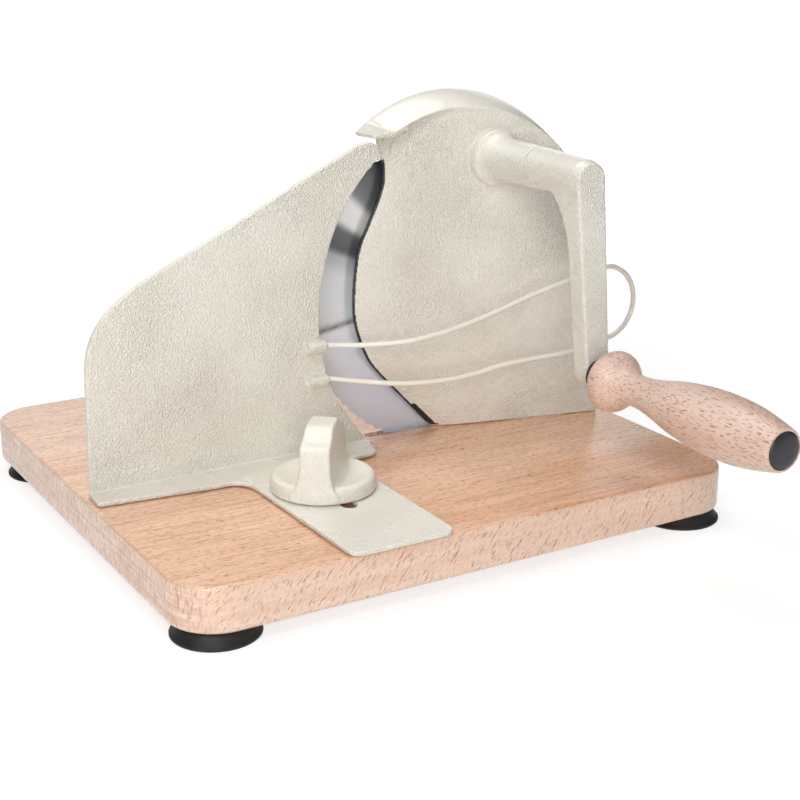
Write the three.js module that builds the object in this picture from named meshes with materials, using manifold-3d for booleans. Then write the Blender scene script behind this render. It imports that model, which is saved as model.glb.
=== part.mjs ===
// Hand cranked slicer on a wooden board: a round blade turned by a crank through a pair of gears,
// a sliding stop plate that sets the slice thickness, and a wire guard in front of the blade.
// Millimetres. X runs right along the board, Y away from the user, Z up.
// The origin is under the middle of the whole part, at the feet's resting faces.
import * as THREE from "three";
import { mergeVertices } from "three/addons/utils/BufferGeometryUtils.js";
import Module from "manifold-3d";

const wasm = await Module();
wasm.setup();

// Board
const boardLength = 350;
const boardWidth = 326;
const boardThick = 25.6;
const boardCorner = 27;
const boardEdge = 1.6;

// Gaps between pieces that touch, slide or turn on each other
const fitGap = 0.3;
const runGap = 0.35;

// Blade, its slot in the board and its drive gear
const bladeRadius = 97;
const bladeX = 71;
const bladeZ = 86.6;
const bladeFront = -4;
const bladeThick = 1.3;
const bladeTeeth = 80;
const bladeToothDepth = 1.7;
const slotWidth = 8;
const slotEndRoom = 14.7;
const slotBottomRoom = 2.5;
const axleRadius = 5;
const axleSocketDepth = 7.4;
const gearModule = 2;
const gearTeeth = 60;
const pinionTeeth = 26;
const gearThick = 3;
const gearHubRadius = 12;
const gearHubLength = 5;
const pinionThick = 4.3;
const pinionHubLength = 4.7;
const pinionHubRadius = 11;
const toothPlay = 0.6;
const rivetCircle = 30;
const rivetRadius = 1.9;
const rivetHeadRadius = 3.6;
const rivetHeadThick = 1;

// Housing, a cast shell open behind and below
const hoodRadius = 97.8;
const hoodX = 70.7;
const hoodZ = 111.9;
const hoodInset = 9;
const lipDepth = 20;
const shellWall = 3;
const rightWall = 2.2;
const faceWall = 2.6;
const faceNear = 11.7;
const faceGain = 25.3;
const frontEdgeDepth = 10;
const grooveDepth = 2.4;
const housingRight = 173.5;
const housingFloor = -30;
const rightDraft = 10;
const lugHeight = 17;
const lugs = [
  { x: 96, y: -16.8, r: 4.4 },
  { x: 150, y: -29, r: 5 },
  { x: 165.5, y: -8, r: 5.2 },
];

// Crank
const crankOffset = 21;
const shaftRadius = 6;
const bushWall = 2.35;
const bossRadius = 12.2;
const bossFlare = 17;
const bossEnd = -70;
const hubRadius = 12.2;
const hubTaper = 1.5;
const armFront = -120;
const armDepth = 12.5;
const webDepth = 38;
const webDrop = 44;
const armHalfTop = 9.6;
const armHalfEnd = 8;
const gripX = 102;
const gripZ = 56.3;
const gripLength = 140.8;
const gripBoltRadius = 3.5;
const gripWasherThick = 8.4;
const capRadius = 10;

// Stop plate, its slotted arm and the clamp
const plateFront = -19.8;
const plateThick = 3.6;
const flangeThick = 3;
const coveRadius = 1.6;
const plateArcX = 86.3;
const plateArcZ = 83;
const plateArcRadius = 113;
const plateArcGrowth = 4;
const armLeft = -87.5;
const armRight = -23;
const armTip = -166;
const stripDepth = 41;
const clampX = -55;
const clampY = -76;
const studRadius = 4;
const armSlotFront = -111;
const armSlotBack = -64.2;
const ribWidth = 7;
const ribHeight = 4;
const ribFront = -150;
const ribBack = -28;
const ribX = -76;
const plateTravelIn = 11.5;
const plateTravelOut = 7;
const knobRadius = 30;
const knobBase = 9;
const knobHeight = 38.7;
const finThick = 17;
const finAngle = 232;
const washerRadius = 11;
const washerThick = 1.2;
const insertRadius = 6.6;
const insertLength = 14;

// Guard wire
const wireRadius = 1.6;
const socketRadius = 3.6;

// Feet
const footFromSide = 24.5;
const footFromFront = 23;
const footFromBack = 35;
const footRadius = 23.8;
const footHeight = 8.5;

// Screws
const screwGap = 0.35;
const footScrewRadius = 1.9;
const housingScrewRadius = 2.4;
const housingScrewHead = 4.8;

// Places worked out from the sizes above, with z counted from the board's top face
const top = 0;
const under = -boardThick;
const outlineCentre = { x: 82, z: 96 };
const gearPitch = (gearModule * gearTeeth) / 2;
const pinionPitch = (gearModule * pinionTeeth) / 2;
const axleSpacing = gearPitch + pinionPitch;
const crankX = bladeX + crankOffset;
const crankZ = bladeZ + Math.sqrt(axleSpacing ** 2 - crankOffset ** 2);
const meshAngle = Math.atan2(crankZ - bladeZ, crankX - bladeX);
const bladeBack = bladeFront + bladeThick;
const gearBack = bladeFront - fitGap;
const gearFront = gearBack - gearThick;
const gearHubFront = gearBack - gearHubLength;
const axleBossEnd = gearHubFront - fitGap;
const axleFront = axleBossEnd - axleSocketDepth;
const axleBack = bladeBack + fitGap;
const pinionBack = gearBack - fitGap;
const pinionFront = pinionBack - pinionThick;
const pinionHubFront = pinionFront - pinionHubLength;
const bushFlangeBack = pinionHubFront - fitGap;
const bushFlangeFront = bushFlangeBack - 1.4;
const plateBack = plateFront + plateThick;
const flangeBottom = top + fitGap;
const flangeTop = flangeBottom + flangeThick;
const gripBack = armFront - gripWasherThick - 2 * fitGap;
const gripFront = gripBack - gripLength;

// Turns a geometry into a closed solid that faces out
function solid(geometry) {
  const flat = geometry.index ? geometry.toNonIndexed() : geometry;
  const bare = new THREE.BufferGeometry();
  bare.setAttribute("position", flat.getAttribute("position"));
  const merged = mergeVertices(bare, 1e-4);
  const source = merged.index.array;
  const kept = [];
  for (let i = 0; i < source.length; i += 3) {
    const [a, b, c] = [source[i], source[i + 1], source[i + 2]];
    if (a !== b && b !== c && a !== c) kept.push(a, b, c);
  }
  const build = (tris) => new wasm.Manifold(new wasm.Mesh({
    numProp: 3,
    vertProperties: new Float32Array(merged.attributes.position.array),
    triVerts: new Uint32Array(tris),
  }));
  const made = build(kept);
  if (made.volume() >= 0) return made;
  for (let i = 0; i < kept.length; i += 3) [kept[i], kept[i + 1]] = [kept[i + 1], kept[i]];
  return build(kept);
}

function join(...list) {
  return list.reduce((sum, item) => sum.add(item));
}

function cut(body, ...list) {
  return list.reduce((sum, item) => sum.subtract(item), body);
}

function shapeOf(points) {
  return new THREE.Shape(points.map(([x, y]) => new THREE.Vector2(x, y)));
}

function extruded(shape, length, edge = 0, steps = 2) {
  return new THREE.ExtrudeGeometry(shape, {
    depth: length - 2 * edge,
    steps: 1,
    curveSegments: 12,
    bevelEnabled: edge > 0,
    bevelThickness: edge,
    bevelSize: edge,
    bevelOffset: -edge,
    bevelSegments: steps,
  }).translate(0, 0, edge);
}

// A prism along Z from points (x, y)
function prismZ(points, z0, z1, edge = 0) {
  return solid(extruded(shapeOf(points), z1 - z0, edge).translate(0, 0, z0));
}

// A prism along Y from points (x, z)
function prismY(points, y0, y1, edge = 0) {
  return solid(extruded(shapeOf(points), y1 - y0, edge).rotateX(Math.PI / 2).translate(0, y1, 0));
}

// A prism along X from points (y, z)
function prismX(points, x0, x1) {
  const made = extruded(shapeOf(points), x1 - x0);
  return solid(made.rotateX(Math.PI / 2).rotateZ(Math.PI / 2).translate(x0, 0, 0));
}

// Turned about a line along Z through (x, y), from points (radius, z)
function turnedZ(profile, x, y, segments = 32) {
  const points = profile.map(([r, z]) => new THREE.Vector2(r, z));
  return solid(new THREE.LatheGeometry(points, segments).rotateX(Math.PI / 2).translate(x, y, 0));
}

// Turned about a line along Y through (x, z), from points (radius, y)
function turnedY(profile, x, z, segments = 32) {
  const points = profile.map(([r, y]) => new THREE.Vector2(r, y));
  return solid(new THREE.LatheGeometry(points, segments).translate(x, 0, z));
}

function rodZ(r, z0, z1, x, y, segments = 24) {
  return turnedZ([[0, z0], [r, z0], [r, z1], [0, z1]], x, y, segments);
}

function rodY(r, y0, y1, x, z, segments = 24) {
  return turnedY([[0, y0], [r, y0], [r, y1], [0, y1]], x, z, segments);
}

// A rod along X
function rodX(r, x0, x1, y, z, segments = 14) {
  const made = new THREE.CylinderGeometry(r, r, x1 - x0, segments);
  return solid(made.rotateZ(Math.PI / 2).translate((x0 + x1) / 2, y, z));
}

function arc(cx, cy, r, from, to, count) {
  const list = [];
  for (let i = 0; i <= count; i += 1) {
    const angle = THREE.MathUtils.degToRad(from + ((to - from) * i) / count);
    list.push([cx + r * Math.cos(angle), cy + r * Math.sin(angle)]);
  }
  return list;
}

function smoothLine(points, count) {
  const curve = new THREE.CatmullRomCurve3(points.map(([x, y]) => new THREE.Vector3(x, y, 0)));
  return curve.getPoints(count).map((p) => [p.x, p.y]);
}

// Looks up a value on a line of (place, value) pairs
function lookUp(table, place) {
  if (place <= table[0][0]) return table[0][1];
  for (let i = 1; i < table.length; i += 1) {
    const [a, b] = [table[i - 1], table[i]];
    if (place <= b[0]) return a[1] + ((b[1] - a[1]) * (place - a[0])) / (b[0] - a[0]);
  }
  return table[table.length - 1][1];
}

function roundedBar(x0, x1, y0, y1, count = 8) {
  const r = Math.min(x1 - x0, y1 - y0) / 2;
  if (x1 - x0 > y1 - y0) {
    return [...arc(x1 - r, y0 + r, r, -90, 90, count), ...arc(x0 + r, y0 + r, r, 90, 270, count)];
  }
  return [...arc(x0 + r, y1 - r, r, 0, 180, count), ...arc(x0 + r, y0 + r, r, 180, 360, count)];
}

// Gear outline with involute flanks; the first tooth points along the given angle
function gearOutline(teeth, x, z, angle) {
  const pitch = (gearModule * teeth) / 2;
  const base = pitch * Math.cos(THREE.MathUtils.degToRad(20));
  const involute = (r) => {
    const a = Math.acos(Math.min(1, base / Math.max(r, base)));
    return Math.tan(a) - a;
  };
  const half = (Math.PI * gearModule - toothPlay) / 4 / pitch;
  const at = (r) => half + involute(pitch) - involute(r);
  const radii = [pitch - 1.25 * gearModule, pitch + gearModule];
  const list = [];
  for (let i = 0; i < teeth; i += 1) {
    const middle = angle + (i * 2 * Math.PI) / teeth;
    const flank = radii.map((r) => [r, at(r)]);
    for (const [r, w] of flank) list.push([x + r * Math.cos(middle - w), z + r * Math.sin(middle - w)]);
    for (const [r, w] of flank.reverse()) {
      list.push([x + r * Math.cos(middle + w), z + r * Math.sin(middle + w)]);
    }
  }
  return list;
}

// Housing: the left edge of its face as pairs of height and x, then the outline seen from the front
const edgeLine = [
  [0, 58], [3, 55.2], [24, 34.9], [45.8, 15], [57.7, 8.2], [70.8, 3.6], [83.6, 1.7], [101.8, 2.6],
  [119.9, 5.5], [134, 11.9], [148.4, 18.8], [159.9, 22.3], [171.5, 21.7], [183, 18.6], [196, 18.2],
];

// Each point of the outline has the depth it starts from, the run over which it rises to the face, how
// round that rise is, how much raised rim it carries and the wall behind it
function outlinePoints() {
  const right = smoothLine([
    [housingRight, housingFloor], [housingRight, 30], [172.6, 75], [169.5, 112], [164, 140], [155, 163],
  ], 14).map(([x, z]) => ({ x, z, start: 0, reach: rightDraft, round: 0.2, lip: 0, wall: rightWall }));
  const hood = arc(hoodX, hoodZ, hoodRadius, 37, 121.5, 24).map(([x, z], i) => {
    const lip = Math.min(1, Math.max(0, (i - 2) / 6));
    const round = Math.min(1, Math.max(0.2, (i - 5) / 6));
    return { x, z, start: 0, reach: hoodInset, round, lip, wall: shellWall };
  });
  const left = [];
  for (let i = 0; i <= 20; i += 1) {
    const z = 184 + ((housingFloor + 2 - 184) * i) / 20;
    left.push({ x: lookUp(edgeLine, z), z, start: 1, reach: hoodInset, round: 1, lip: 0, wall: -9 });
  }
  const floor = [];
  for (let i = 1; i < 8; i += 1) {
    const x = edgeLine[0][1] + (i * (housingRight - edgeLine[0][1])) / 8;
    floor.push({ x, z: housingFloor, start: 1, reach: rightDraft, round: 1, lip: 0, wall: -5 });
  }
  return [...right, ...hood, ...left, ...floor];
}

function faceDepth(x, z) {
  const from = lookUp(edgeLine, z);
  const along = Math.max(0, x - from);
  const share = Math.min(1, along / (housingRight - rightDraft - from));
  const edge = Math.min(frontEdgeDepth, 7 + Math.max(0, z) * 0.15);
  return edge + (faceNear + faceGain * share - edge) * (1 - Math.exp(-along / 6));
}

// Depth of a skin at (x, z), a given distance in from its outline
function skinDepth(x, z, inset, side) {
  const face = faceDepth(x, z);
  const crest = face + side.lip * (Math.max(lipDepth, Math.min(face, 34)) - face);
  const part = Math.min(1, inset / side.reach);
  const bulge = side.round * Math.sqrt(1 - (1 - part) ** 2) + (1 - side.round) * part;
  const rise = crest * (side.start + (1 - side.start) * bulge);
  if (inset <= side.reach) return rise;
  const groove = side.lip * grooveDepth * Math.min(1, Math.max(0, (30 - face) / 10));
  const level = Math.min(face, crest) - groove * Math.max(0, 1 - (inset - side.reach) / 22);
  return crest + (level - crest) * Math.min(1, (inset - side.reach) / 4);
}

// One skin of the housing, closed behind at the given depth and set in by the wall thickness or not
function skin(insets, deepRings, inner, back) {
  const outline = outlinePoints();
  const count = outline.length;
  const last = insets[insets.length - 1];
  const rings = insets.length + deepRings;
  const vertices = [];
  for (const side of outline) {
    const dx = side.x - outlineCentre.x;
    const dz = side.z - outlineCentre.z;
    const whole = Math.hypot(dx, dz);
    const shift = inner ? side.wall : 0;
    const reach = whole - shift;
    for (let ring = 0; ring < rings; ring += 1) {
      const near = Math.max(0, ring - 1);
      const deep = (near - insets.length + 1) / deepRings;
      const inset = near < insets.length ? insets[near] : last + (reach - last) * deep;
      const share = (reach - inset) / whole;
      const x = outlineCentre.x + dx * share;
      const z = outlineCentre.z + dz * share;
      const own = skinDepth(x, z, inset, side);
      const covered = Math.min(own, skinDepth(x, z, inset + Math.max(0, shift), side));
      const depth = inner ? covered - faceWall : own;
      vertices.push(x, ring === 0 ? back : Math.min(-depth, back - 0.2), z);
    }
  }
  const middle = vertices.length / 3;
  const centreDepth = faceDepth(outlineCentre.x, outlineCentre.z) - (inner ? faceWall : 0);
  vertices.push(outlineCentre.x, -centreDepth, outlineCentre.z);
  vertices.push(outlineCentre.x, back, outlineCentre.z);
  const faces = [];
  for (let i = 0; i < count; i += 1) {
    const a = i * rings;
    const b = ((i + 1) % count) * rings;
    for (let ring = 0; ring < rings - 1; ring += 1) {
      faces.push(a + ring, a + ring + 1, b + ring, b + ring, a + ring + 1, b + ring + 1);
    }
    faces.push(a + rings - 1, middle, b + rings - 1);
    faces.push(middle + 1, a, b);
  }
  const geometry = new THREE.BufferGeometry();
  geometry.setAttribute("position", new THREE.Float32BufferAttribute(vertices, 3));
  geometry.setIndex(faces);
  return solid(geometry);
}

// A body between two outlines with the same number of points (x, z), at depths y0 and y1
function loftY(first, second, y0, y1) {
  const count = first.length;
  const vertices = [];
  for (const [x, z] of first) vertices.push(x, y0, z);
  for (const [x, z] of second) vertices.push(x, y1, z);
  const faces = [];
  for (let i = 0; i < count; i += 1) {
    const j = (i + 1) % count;
    faces.push(i, count + i, j, j, count + i, count + j);
  }
  const flat = (list) => {
    const points = list.map(([x, z]) => new THREE.Vector2(x, z));
    return THREE.ShapeUtils.triangulateShape(points, []);
  };
  for (const [a, b, c] of flat(first)) faces.push(a, b, c);
  for (const [a, b, c] of flat(second)) faces.push(count + a, count + c, count + b);
  const geometry = new THREE.BufferGeometry();
  geometry.setAttribute("position", new THREE.Float32BufferAttribute(vertices, 3));
  geometry.setIndex(faces);
  return solid(geometry);
}

function makeHousing() {
  const outer = skin([0, 1, 3, 6, 9, 11, 14, 20, 32], 4, false, 0);
  const inner = skin([0, 2, 6, 11, 16, 24, 36], 4, true, 6);
  const inside = join(
    rodY(11, -45, axleBossEnd, bladeX, bladeZ, 28),
    rodY(13, -45, bushFlangeFront - fitGap, crankX, crankZ, 28),
    ...lugs.map((lug) => rodZ(lug.r, 0, lugHeight, lug.x, lug.y, 20)),
  ).intersect(outer);
  const boss = turnedY([
    [0, -14], [bossFlare - 1, -14], [bossFlare, -24], [bossFlare, -27], [bossFlare - 0.8, -29.6],
    [bossFlare - 2.3, -31.8], [bossRadius + 1.1, -35], [bossRadius + 0.6, -39], [bossRadius, bossEnd],
    [0, bossEnd],
  ], crankX, crankZ, 40);
  const visor = loftY(
    [...arc(hoodX, hoodZ, hoodRadius, 116, 129.2, 5), [10.4, 185.5], [24, 185.6], [34, 191]],
    [[31, 195.4], [26, 192.2], [22, 190.3], [18, 189.4], [14, 188.7], [10.6, 187.6],
      [12.2, 185.6], [26, 186], [36, 190]],
    0, -19,
  );
  const trimmed = outer.subtract(inner).add(inside);
  return cut(
    join(trimmed, boss.subtract(inner.subtract(inside)), visor),
    rodY(shaftRadius + bushWall + fitGap, -80, 0, crankX, crankZ, 32),
    rodY(axleRadius + fitGap, axleFront - fitGap, 0, bladeX, bladeZ, 28),
    ...lugs.map((lug) => rodZ(housingScrewRadius + fitGap, -5, lugHeight - 2.5, lug.x, lug.y, 16)),
    prismZ([[-60, -90], [240, -90], [240, 40], [-60, 40]], -60, fitGap),
  );
}

function makeBoard() {
  const halfX = boardLength / 2;
  const halfY = boardWidth / 2;
  const c = boardCorner;
  const outline = [
    ...arc(halfX - c, halfY - c, c, 0, 90, 7), ...arc(c - halfX, halfY - c, c, 90, 180, 7),
    ...arc(c - halfX, c - halfY, c, 180, 270, 7), ...arc(halfX - c, c - halfY, c, 270, 360, 7),
  ];
  const slab = solid(extruded(shapeOf(outline), boardThick, boardEdge, 3).translate(0, 0, under));
  const reach = Math.sqrt(bladeRadius ** 2 - bladeZ ** 2) + slotEndRoom;
  const slotMiddle = (bladeFront + bladeBack) / 2;
  const slotFront = slotMiddle - slotWidth / 2;
  const slot = roundedBar(bladeX - reach, bladeX + reach, slotFront, slotFront + slotWidth, 7);
  const slotBottom = bladeZ - bladeRadius - slotBottomRoom;
  const groove = roundedBar(
    ribX - ribWidth / 2 - runGap, ribX + ribWidth / 2 + runGap,
    ribFront - plateTravelOut - fitGap, ribBack + plateTravelIn + fitGap, 6,
  );
  return cut(
    slab,
    prismZ(slot, slotBottom, 5),
    prismZ(groove, -ribHeight - runGap, 5),
    rodZ(insertRadius + fitGap, -insertLength - 4, 5, clampX, clampY, 24),
    ...lugs.map((lug) => turnedZ([
      [0, under - 5], [housingScrewHead + 0.7, under - 5], [housingScrewHead + 0.7, under + 5.5],
      [housingScrewRadius + screwGap, under + 5.5], [housingScrewRadius + screwGap, 5], [0, 5],
    ], lug.x, lug.y, 18)),
    ...feet.map((foot) => rodZ(footScrewRadius + fitGap, under - 5, under + 13, foot.x, foot.y, 14)),
  );
}

function makeFoot(foot) {
  const bottom = under - footHeight;
  return turnedZ([
    [2.4, under - fitGap], [footRadius - 4.5, under - fitGap], [footRadius - 3.3, under - 2],
    [footRadius - 1.7, bottom + 3], [footRadius, bottom + 1.2], [footRadius, bottom],
    [footRadius - 4.5, bottom], [footRadius - 7, bottom + 2.2], [5.6, bottom + 2.7], [5.6, under - 4.4],
    [2.4, under - 4.4], [2.4, under - fitGap],
  ], foot.x, foot.y, 26);
}

function makeFootScrew(foot) {
  const head = under - 4.7;
  return turnedZ([
    [0, head - 1.7], [2.6, head - 1.6], [4.3, head - 0.9], [4.6, head], [footScrewRadius, head],
    [footScrewRadius, under + 11.4], [0, under + 12.6],
  ], foot.x, foot.y, 16);
}

function makeHousingScrew(lug) {
  const seat = under + 5.2;
  return cut(turnedZ([
    [0, seat - 3.4], [housingScrewHead, seat - 3.4], [housingScrewHead, seat],
    [housingScrewRadius, seat], [housingScrewRadius, lugHeight - 3.2], [0, lugHeight - 2.9],
  ], lug.x, lug.y, 18), prismZ(arc(lug.x, lug.y, 2.4, 0, 300, 5), seat - 5, seat - 1.4));
}

function makeBlade() {
  const outline = [];
  const steps = 4;
  for (let i = 0; i < bladeTeeth * steps; i += 1) {
    const angle = (i * 2 * Math.PI) / (bladeTeeth * steps);
    const r = bladeRadius - bladeToothDepth * Math.sin((Math.PI * (i % steps)) / steps);
    outline.push([bladeX + r * Math.cos(angle), bladeZ + r * Math.sin(angle)]);
  }
  const rivets = rivetPlaces.map(([x, z]) => rodY(rivetRadius + fitGap, -8, 0, x, z, 16));
  return cut(
    prismY(outline, bladeFront, bladeBack),
    rodY(axleRadius + runGap, -8, 0, bladeX, bladeZ, 28),
    ...rivets,
  );
}

function makeBladeGear() {
  const rivets = rivetPlaces.map(([x, z]) => rodY(rivetRadius + fitGap, gearBack - 2.6, 0, x, z, 16));
  return cut(
    join(
      prismY(gearOutline(gearTeeth, bladeX, bladeZ, meshAngle), gearFront, gearBack),
      rodY(gearHubRadius, gearHubFront, gearBack, bladeX, bladeZ, 32),
    ),
    rodY(axleRadius + runGap, -20, 0, bladeX, bladeZ, 28),
    ...rivets,
  );
}

function makeRivet([x, z]) {
  const head = bladeBack + fitGap;
  return turnedY([
    [0, gearBack - 2.2], [rivetRadius, gearBack - 2.2], [rivetRadius, head], [rivetHeadRadius, head],
    [rivetHeadRadius - 0.5, head + rivetHeadThick * 0.7], [0, head + rivetHeadThick],
  ], x, z, 16);
}

function makeAxle() {
  return cut(
    rodY(axleRadius, axleFront, axleBack, bladeX, bladeZ, 28),
    rodY(2.5, axleBack - 9, 5, bladeX, bladeZ, 18),
  );
}

function makeBladeWasher() {
  const near = axleBack + fitGap;
  return turnedY([
    [2.5, near], [12, near], [12, near + 1], [11.4, near + 1.5], [2.5, near + 1.5], [2.5, near],
  ], bladeX, bladeZ, 32);
}

function makeBladeScrew() {
  const seat = axleBack + 1.5 + 2 * fitGap;
  const body = turnedY([
    [0, axleBack - 8.5], [2.2, axleBack - 8.5], [2.2, seat], [6.4, seat], [6.4, seat + 1.2],
    [5.4, seat + 2.4], [0, seat + 3],
  ], bladeX, bladeZ, 28);
  const drive = prismY([
    [bladeX - 4.4, bladeZ - 0.6], [bladeX + 4.4, bladeZ - 0.6],
    [bladeX + 4.4, bladeZ + 0.6], [bladeX - 4.4, bladeZ + 0.6],
  ], seat + 1.5, seat + 5);
  return body.subtract(drive);
}

function makeCrankBush() {
  const outer = shaftRadius + bushWall;
  const inner = shaftRadius + runGap;
  return turnedY([
    [inner, bossEnd + 0.6], [outer, bossEnd + 0.6], [outer, bushFlangeFront], [12, bushFlangeFront],
    [12, bushFlangeBack], [inner, bushFlangeBack], [inner, bossEnd + 0.6],
  ], crankX, crankZ, 32);
}

function makeShaft() {
  return turnedY([
    [0, shaftEnd], [shaftRadius - 0.8, shaftEnd], [shaftRadius, shaftEnd + 0.8],
    [shaftRadius, pinionBack - 0.5], [shaftRadius - 0.5, pinionBack], [0, pinionBack],
  ], crankX, crankZ, 28);
}

function makePinion() {
  return cut(
    join(
      prismY(gearOutline(pinionTeeth, crankX, crankZ, pinionAngle), pinionFront, pinionBack),
      rodY(pinionHubRadius, pinionHubFront, pinionBack, crankX, crankZ, 28),
    ),
    rodY(shaftRadius + fitGap, -30, 0, crankX, crankZ, 28),
    rodX(1.9, crankX, crankX + 20, pinionScrewY, crankZ),
  );
}

function makeCrankArm() {
  const dx = gripX - crankX;
  const dz = gripZ - crankZ;
  const lean = THREE.MathUtils.radToDeg(Math.atan2(dz, dx));
  const tilt = THREE.MathUtils.radToDeg(Math.asin((armHalfTop - armHalfEnd) / Math.hypot(dx, dz)));
  const outline = [
    ...arc(crankX, crankZ, armHalfTop, lean + 90 - tilt, lean + 270 + tilt, 16),
    ...arc(gripX, gripZ, armHalfEnd, lean - 90 + tilt, lean + 90 - tilt, 14),
  ];
  const armBack = armFront + armDepth;
  const bar = prismY(outline, armFront, armFront + webDepth, 1.4);
  const hollow = [];
  for (let i = 0; i <= 8; i += 1) {
    const turn = (i * Math.PI) / 16;
    const y = armBack + (webDepth - armDepth + 0.5) * (1 - Math.cos(turn));
    hollow.push([y, crankZ - webDrop + (webDrop - 5) * Math.sin(turn)]);
  }
  const behind = prismX([
    ...hollow, [armFront + 60, crankZ - 5], [armFront + 60, gripZ - 40], [armBack, gripZ - 40],
  ], crankX - 60, crankX + 80);
  const hub = turnedY([
    [0, hubBack], [hubRadius, hubBack], [hubRadius - hubTaper, armFront + 6],
    [hubRadius - hubTaper - 1.2, armFront + 1.6], [hubRadius - hubTaper - 3, armFront + 0.2],
    [0, armFront + 0.2],
  ], crankX, crankZ, 40);
  return cut(
    join(bar.subtract(behind), hub),
    rodY(shaftRadius + fitGap, shaftEnd - 0.6, 0, crankX, crankZ, 28),
    rodX(2.2, crankX, crankX + 20, setScrewY, crankZ, 16),
    rodY(gripBoltRadius + fitGap, -200, 0, gripX, gripZ, 20),
  );
}

// A grub screw that points along X into a shaft
function makeSetScrew(r, y, outer) {
  return cut(
    rodX(r, crankX + shaftRadius + 0.6, crankX + outer, y, crankZ),
    rodX(r * 0.55, crankX + outer - 1.6, crankX + outer + 5, y, crankZ, 6),
  );
}

function makeGrip() {
  const outer = gripProfile.map(([along, r]) => [r, gripBack - along]);
  const seat = gripFront + 12;
  return turnedY([
    [gripBoltRadius + runGap, gripBack], ...outer, [capRadius + fitGap, gripFront],
    [capRadius + fitGap, seat], [gripBoltRadius + runGap, seat], [gripBoltRadius + runGap, gripBack],
  ], gripX, gripZ, 30);
}

function makeGripBolt() {
  const seat = gripFront + 11.7;
  return turnedY([
    [0, seat - 3.6], [6, seat - 3.6], [6.5, seat - 3], [6.5, seat], [gripBoltRadius, seat],
    [gripBoltRadius, armFront + armDepth - 0.8], [0, armFront + armDepth - 0.4],
  ], gripX, gripZ, 24);
}

function makeGripWasher() {
  const back = armFront - fitGap;
  const inner = gripBoltRadius + fitGap;
  return turnedY([
    [inner, back], [9.5, back], [9.5, back - gripWasherThick], [inner, back - gripWasherThick],
    [inner, back],
  ], gripX, gripZ, 28);
}

function makeGripCap() {
  return turnedY([
    [0, gripFront - 1.6], [4.5, gripFront - 1.5], [8, gripFront - 1], [capRadius, gripFront + 0.4],
    [capRadius, gripFront + 3], [capRadius - 0.8, gripFront + 6], [0, gripFront + 6],
  ], gripX, gripZ, 32);
}

function makeStopPlate() {
  const face = smoothLine([
    [-170.5, flangeBottom], [-170.3, 29], [-169.7, 58], [-168.6, 79], [-165.2, 90.5], [-158.6, 101],
    [-150, 108.9], [-136.2, 117.9], [-114.6, 128.2], [-70.4, 149], [-40, 163.7], [-8.9, 178.5],
    [3, 183.6], [9, 184.3], [13.6, 181.6], [15.6, 176.4], [14.4, 173.6],
  ], 48);
  const bottomAngle = 180 - THREE.MathUtils.radToDeg(Math.asin((flangeBottom - plateArcZ) / plateArcRadius));
  const scoop = [];
  for (let i = 0; i <= 26; i += 1) {
    const angle = 129.5 + ((bottomAngle - 129.5) * i) / 26;
    const r = plateArcRadius + plateArcGrowth * Math.max(0, (165 - angle) / 35);
    const turn = THREE.MathUtils.degToRad(angle);
    scoop.push([plateArcX + r * Math.cos(turn), plateArcZ + r * Math.sin(turn)]);
  }
  const outline = [...face, ...scoop].reverse();
  const full = prismX([
    [plateBack, flangeBottom], [plateBack, 200], [plateFront, 200],
    ...arc(plateFront - coveRadius, flangeTop + coveRadius, coveRadius, 0, -90, 4),
    [plateFront - coveRadius, flangeBottom],
  ], -200, 60);
  const wall = full.intersect(prismY(outline, -60, 10));
  const flange = prismZ([
    [-171.4, plateBack], [-172, -34], [-170.5, -35.6], [-104, -42.4],
    ...arc(armLeft - 13, -55, 13, 78, 0, 8),
    [armLeft + 1.8, armTip + 7], ...arc(armLeft + 8.8, armTip + 7, 7, 180, 270, 5),
    ...arc(armRight - 7, armTip + 7, 7, 270, 360, 5), ...arc(armRight + 13, -54, 13, 180, 90, 8),
    [-12, -stripDepth], [-2, -stripDepth + 0.8], [0.8, -stripDepth + 3], [6.6, plateFront], [6.6, plateBack],
  ], flangeBottom, flangeTop);
  const ribOutline = roundedBar(ribX - ribWidth / 2, ribX + ribWidth / 2, ribFront, ribBack, 6);
  const rib = prismZ(ribOutline, -ribHeight, flangeBottom + 1);
  const slotHalf = studRadius + runGap;
  const slot = roundedBar(clampX - slotHalf, clampX + slotHalf, armSlotFront, armSlotBack, 7);
  const sleeves = sockets.map(([x, z]) => join(
    rodX(socketRadius, x - 6, x + 6, socketY, z, 20),
    prismY(
      [[x - 4.5, z - 3], [x + 4.5, z - 3], [x + 4.5, z + 3], [x - 4.5, z + 3]], socketY, plateFront + 1,
    ),
  ));
  return cut(
    join(wall, flange, rib, ...sleeves),
    prismZ(slot, -9, 9),
    ...sockets.map(([x, z]) => rodX(wireRadius + fitGap, x - 20, x + 20, socketY, z, 16)),
  );
}

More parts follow.
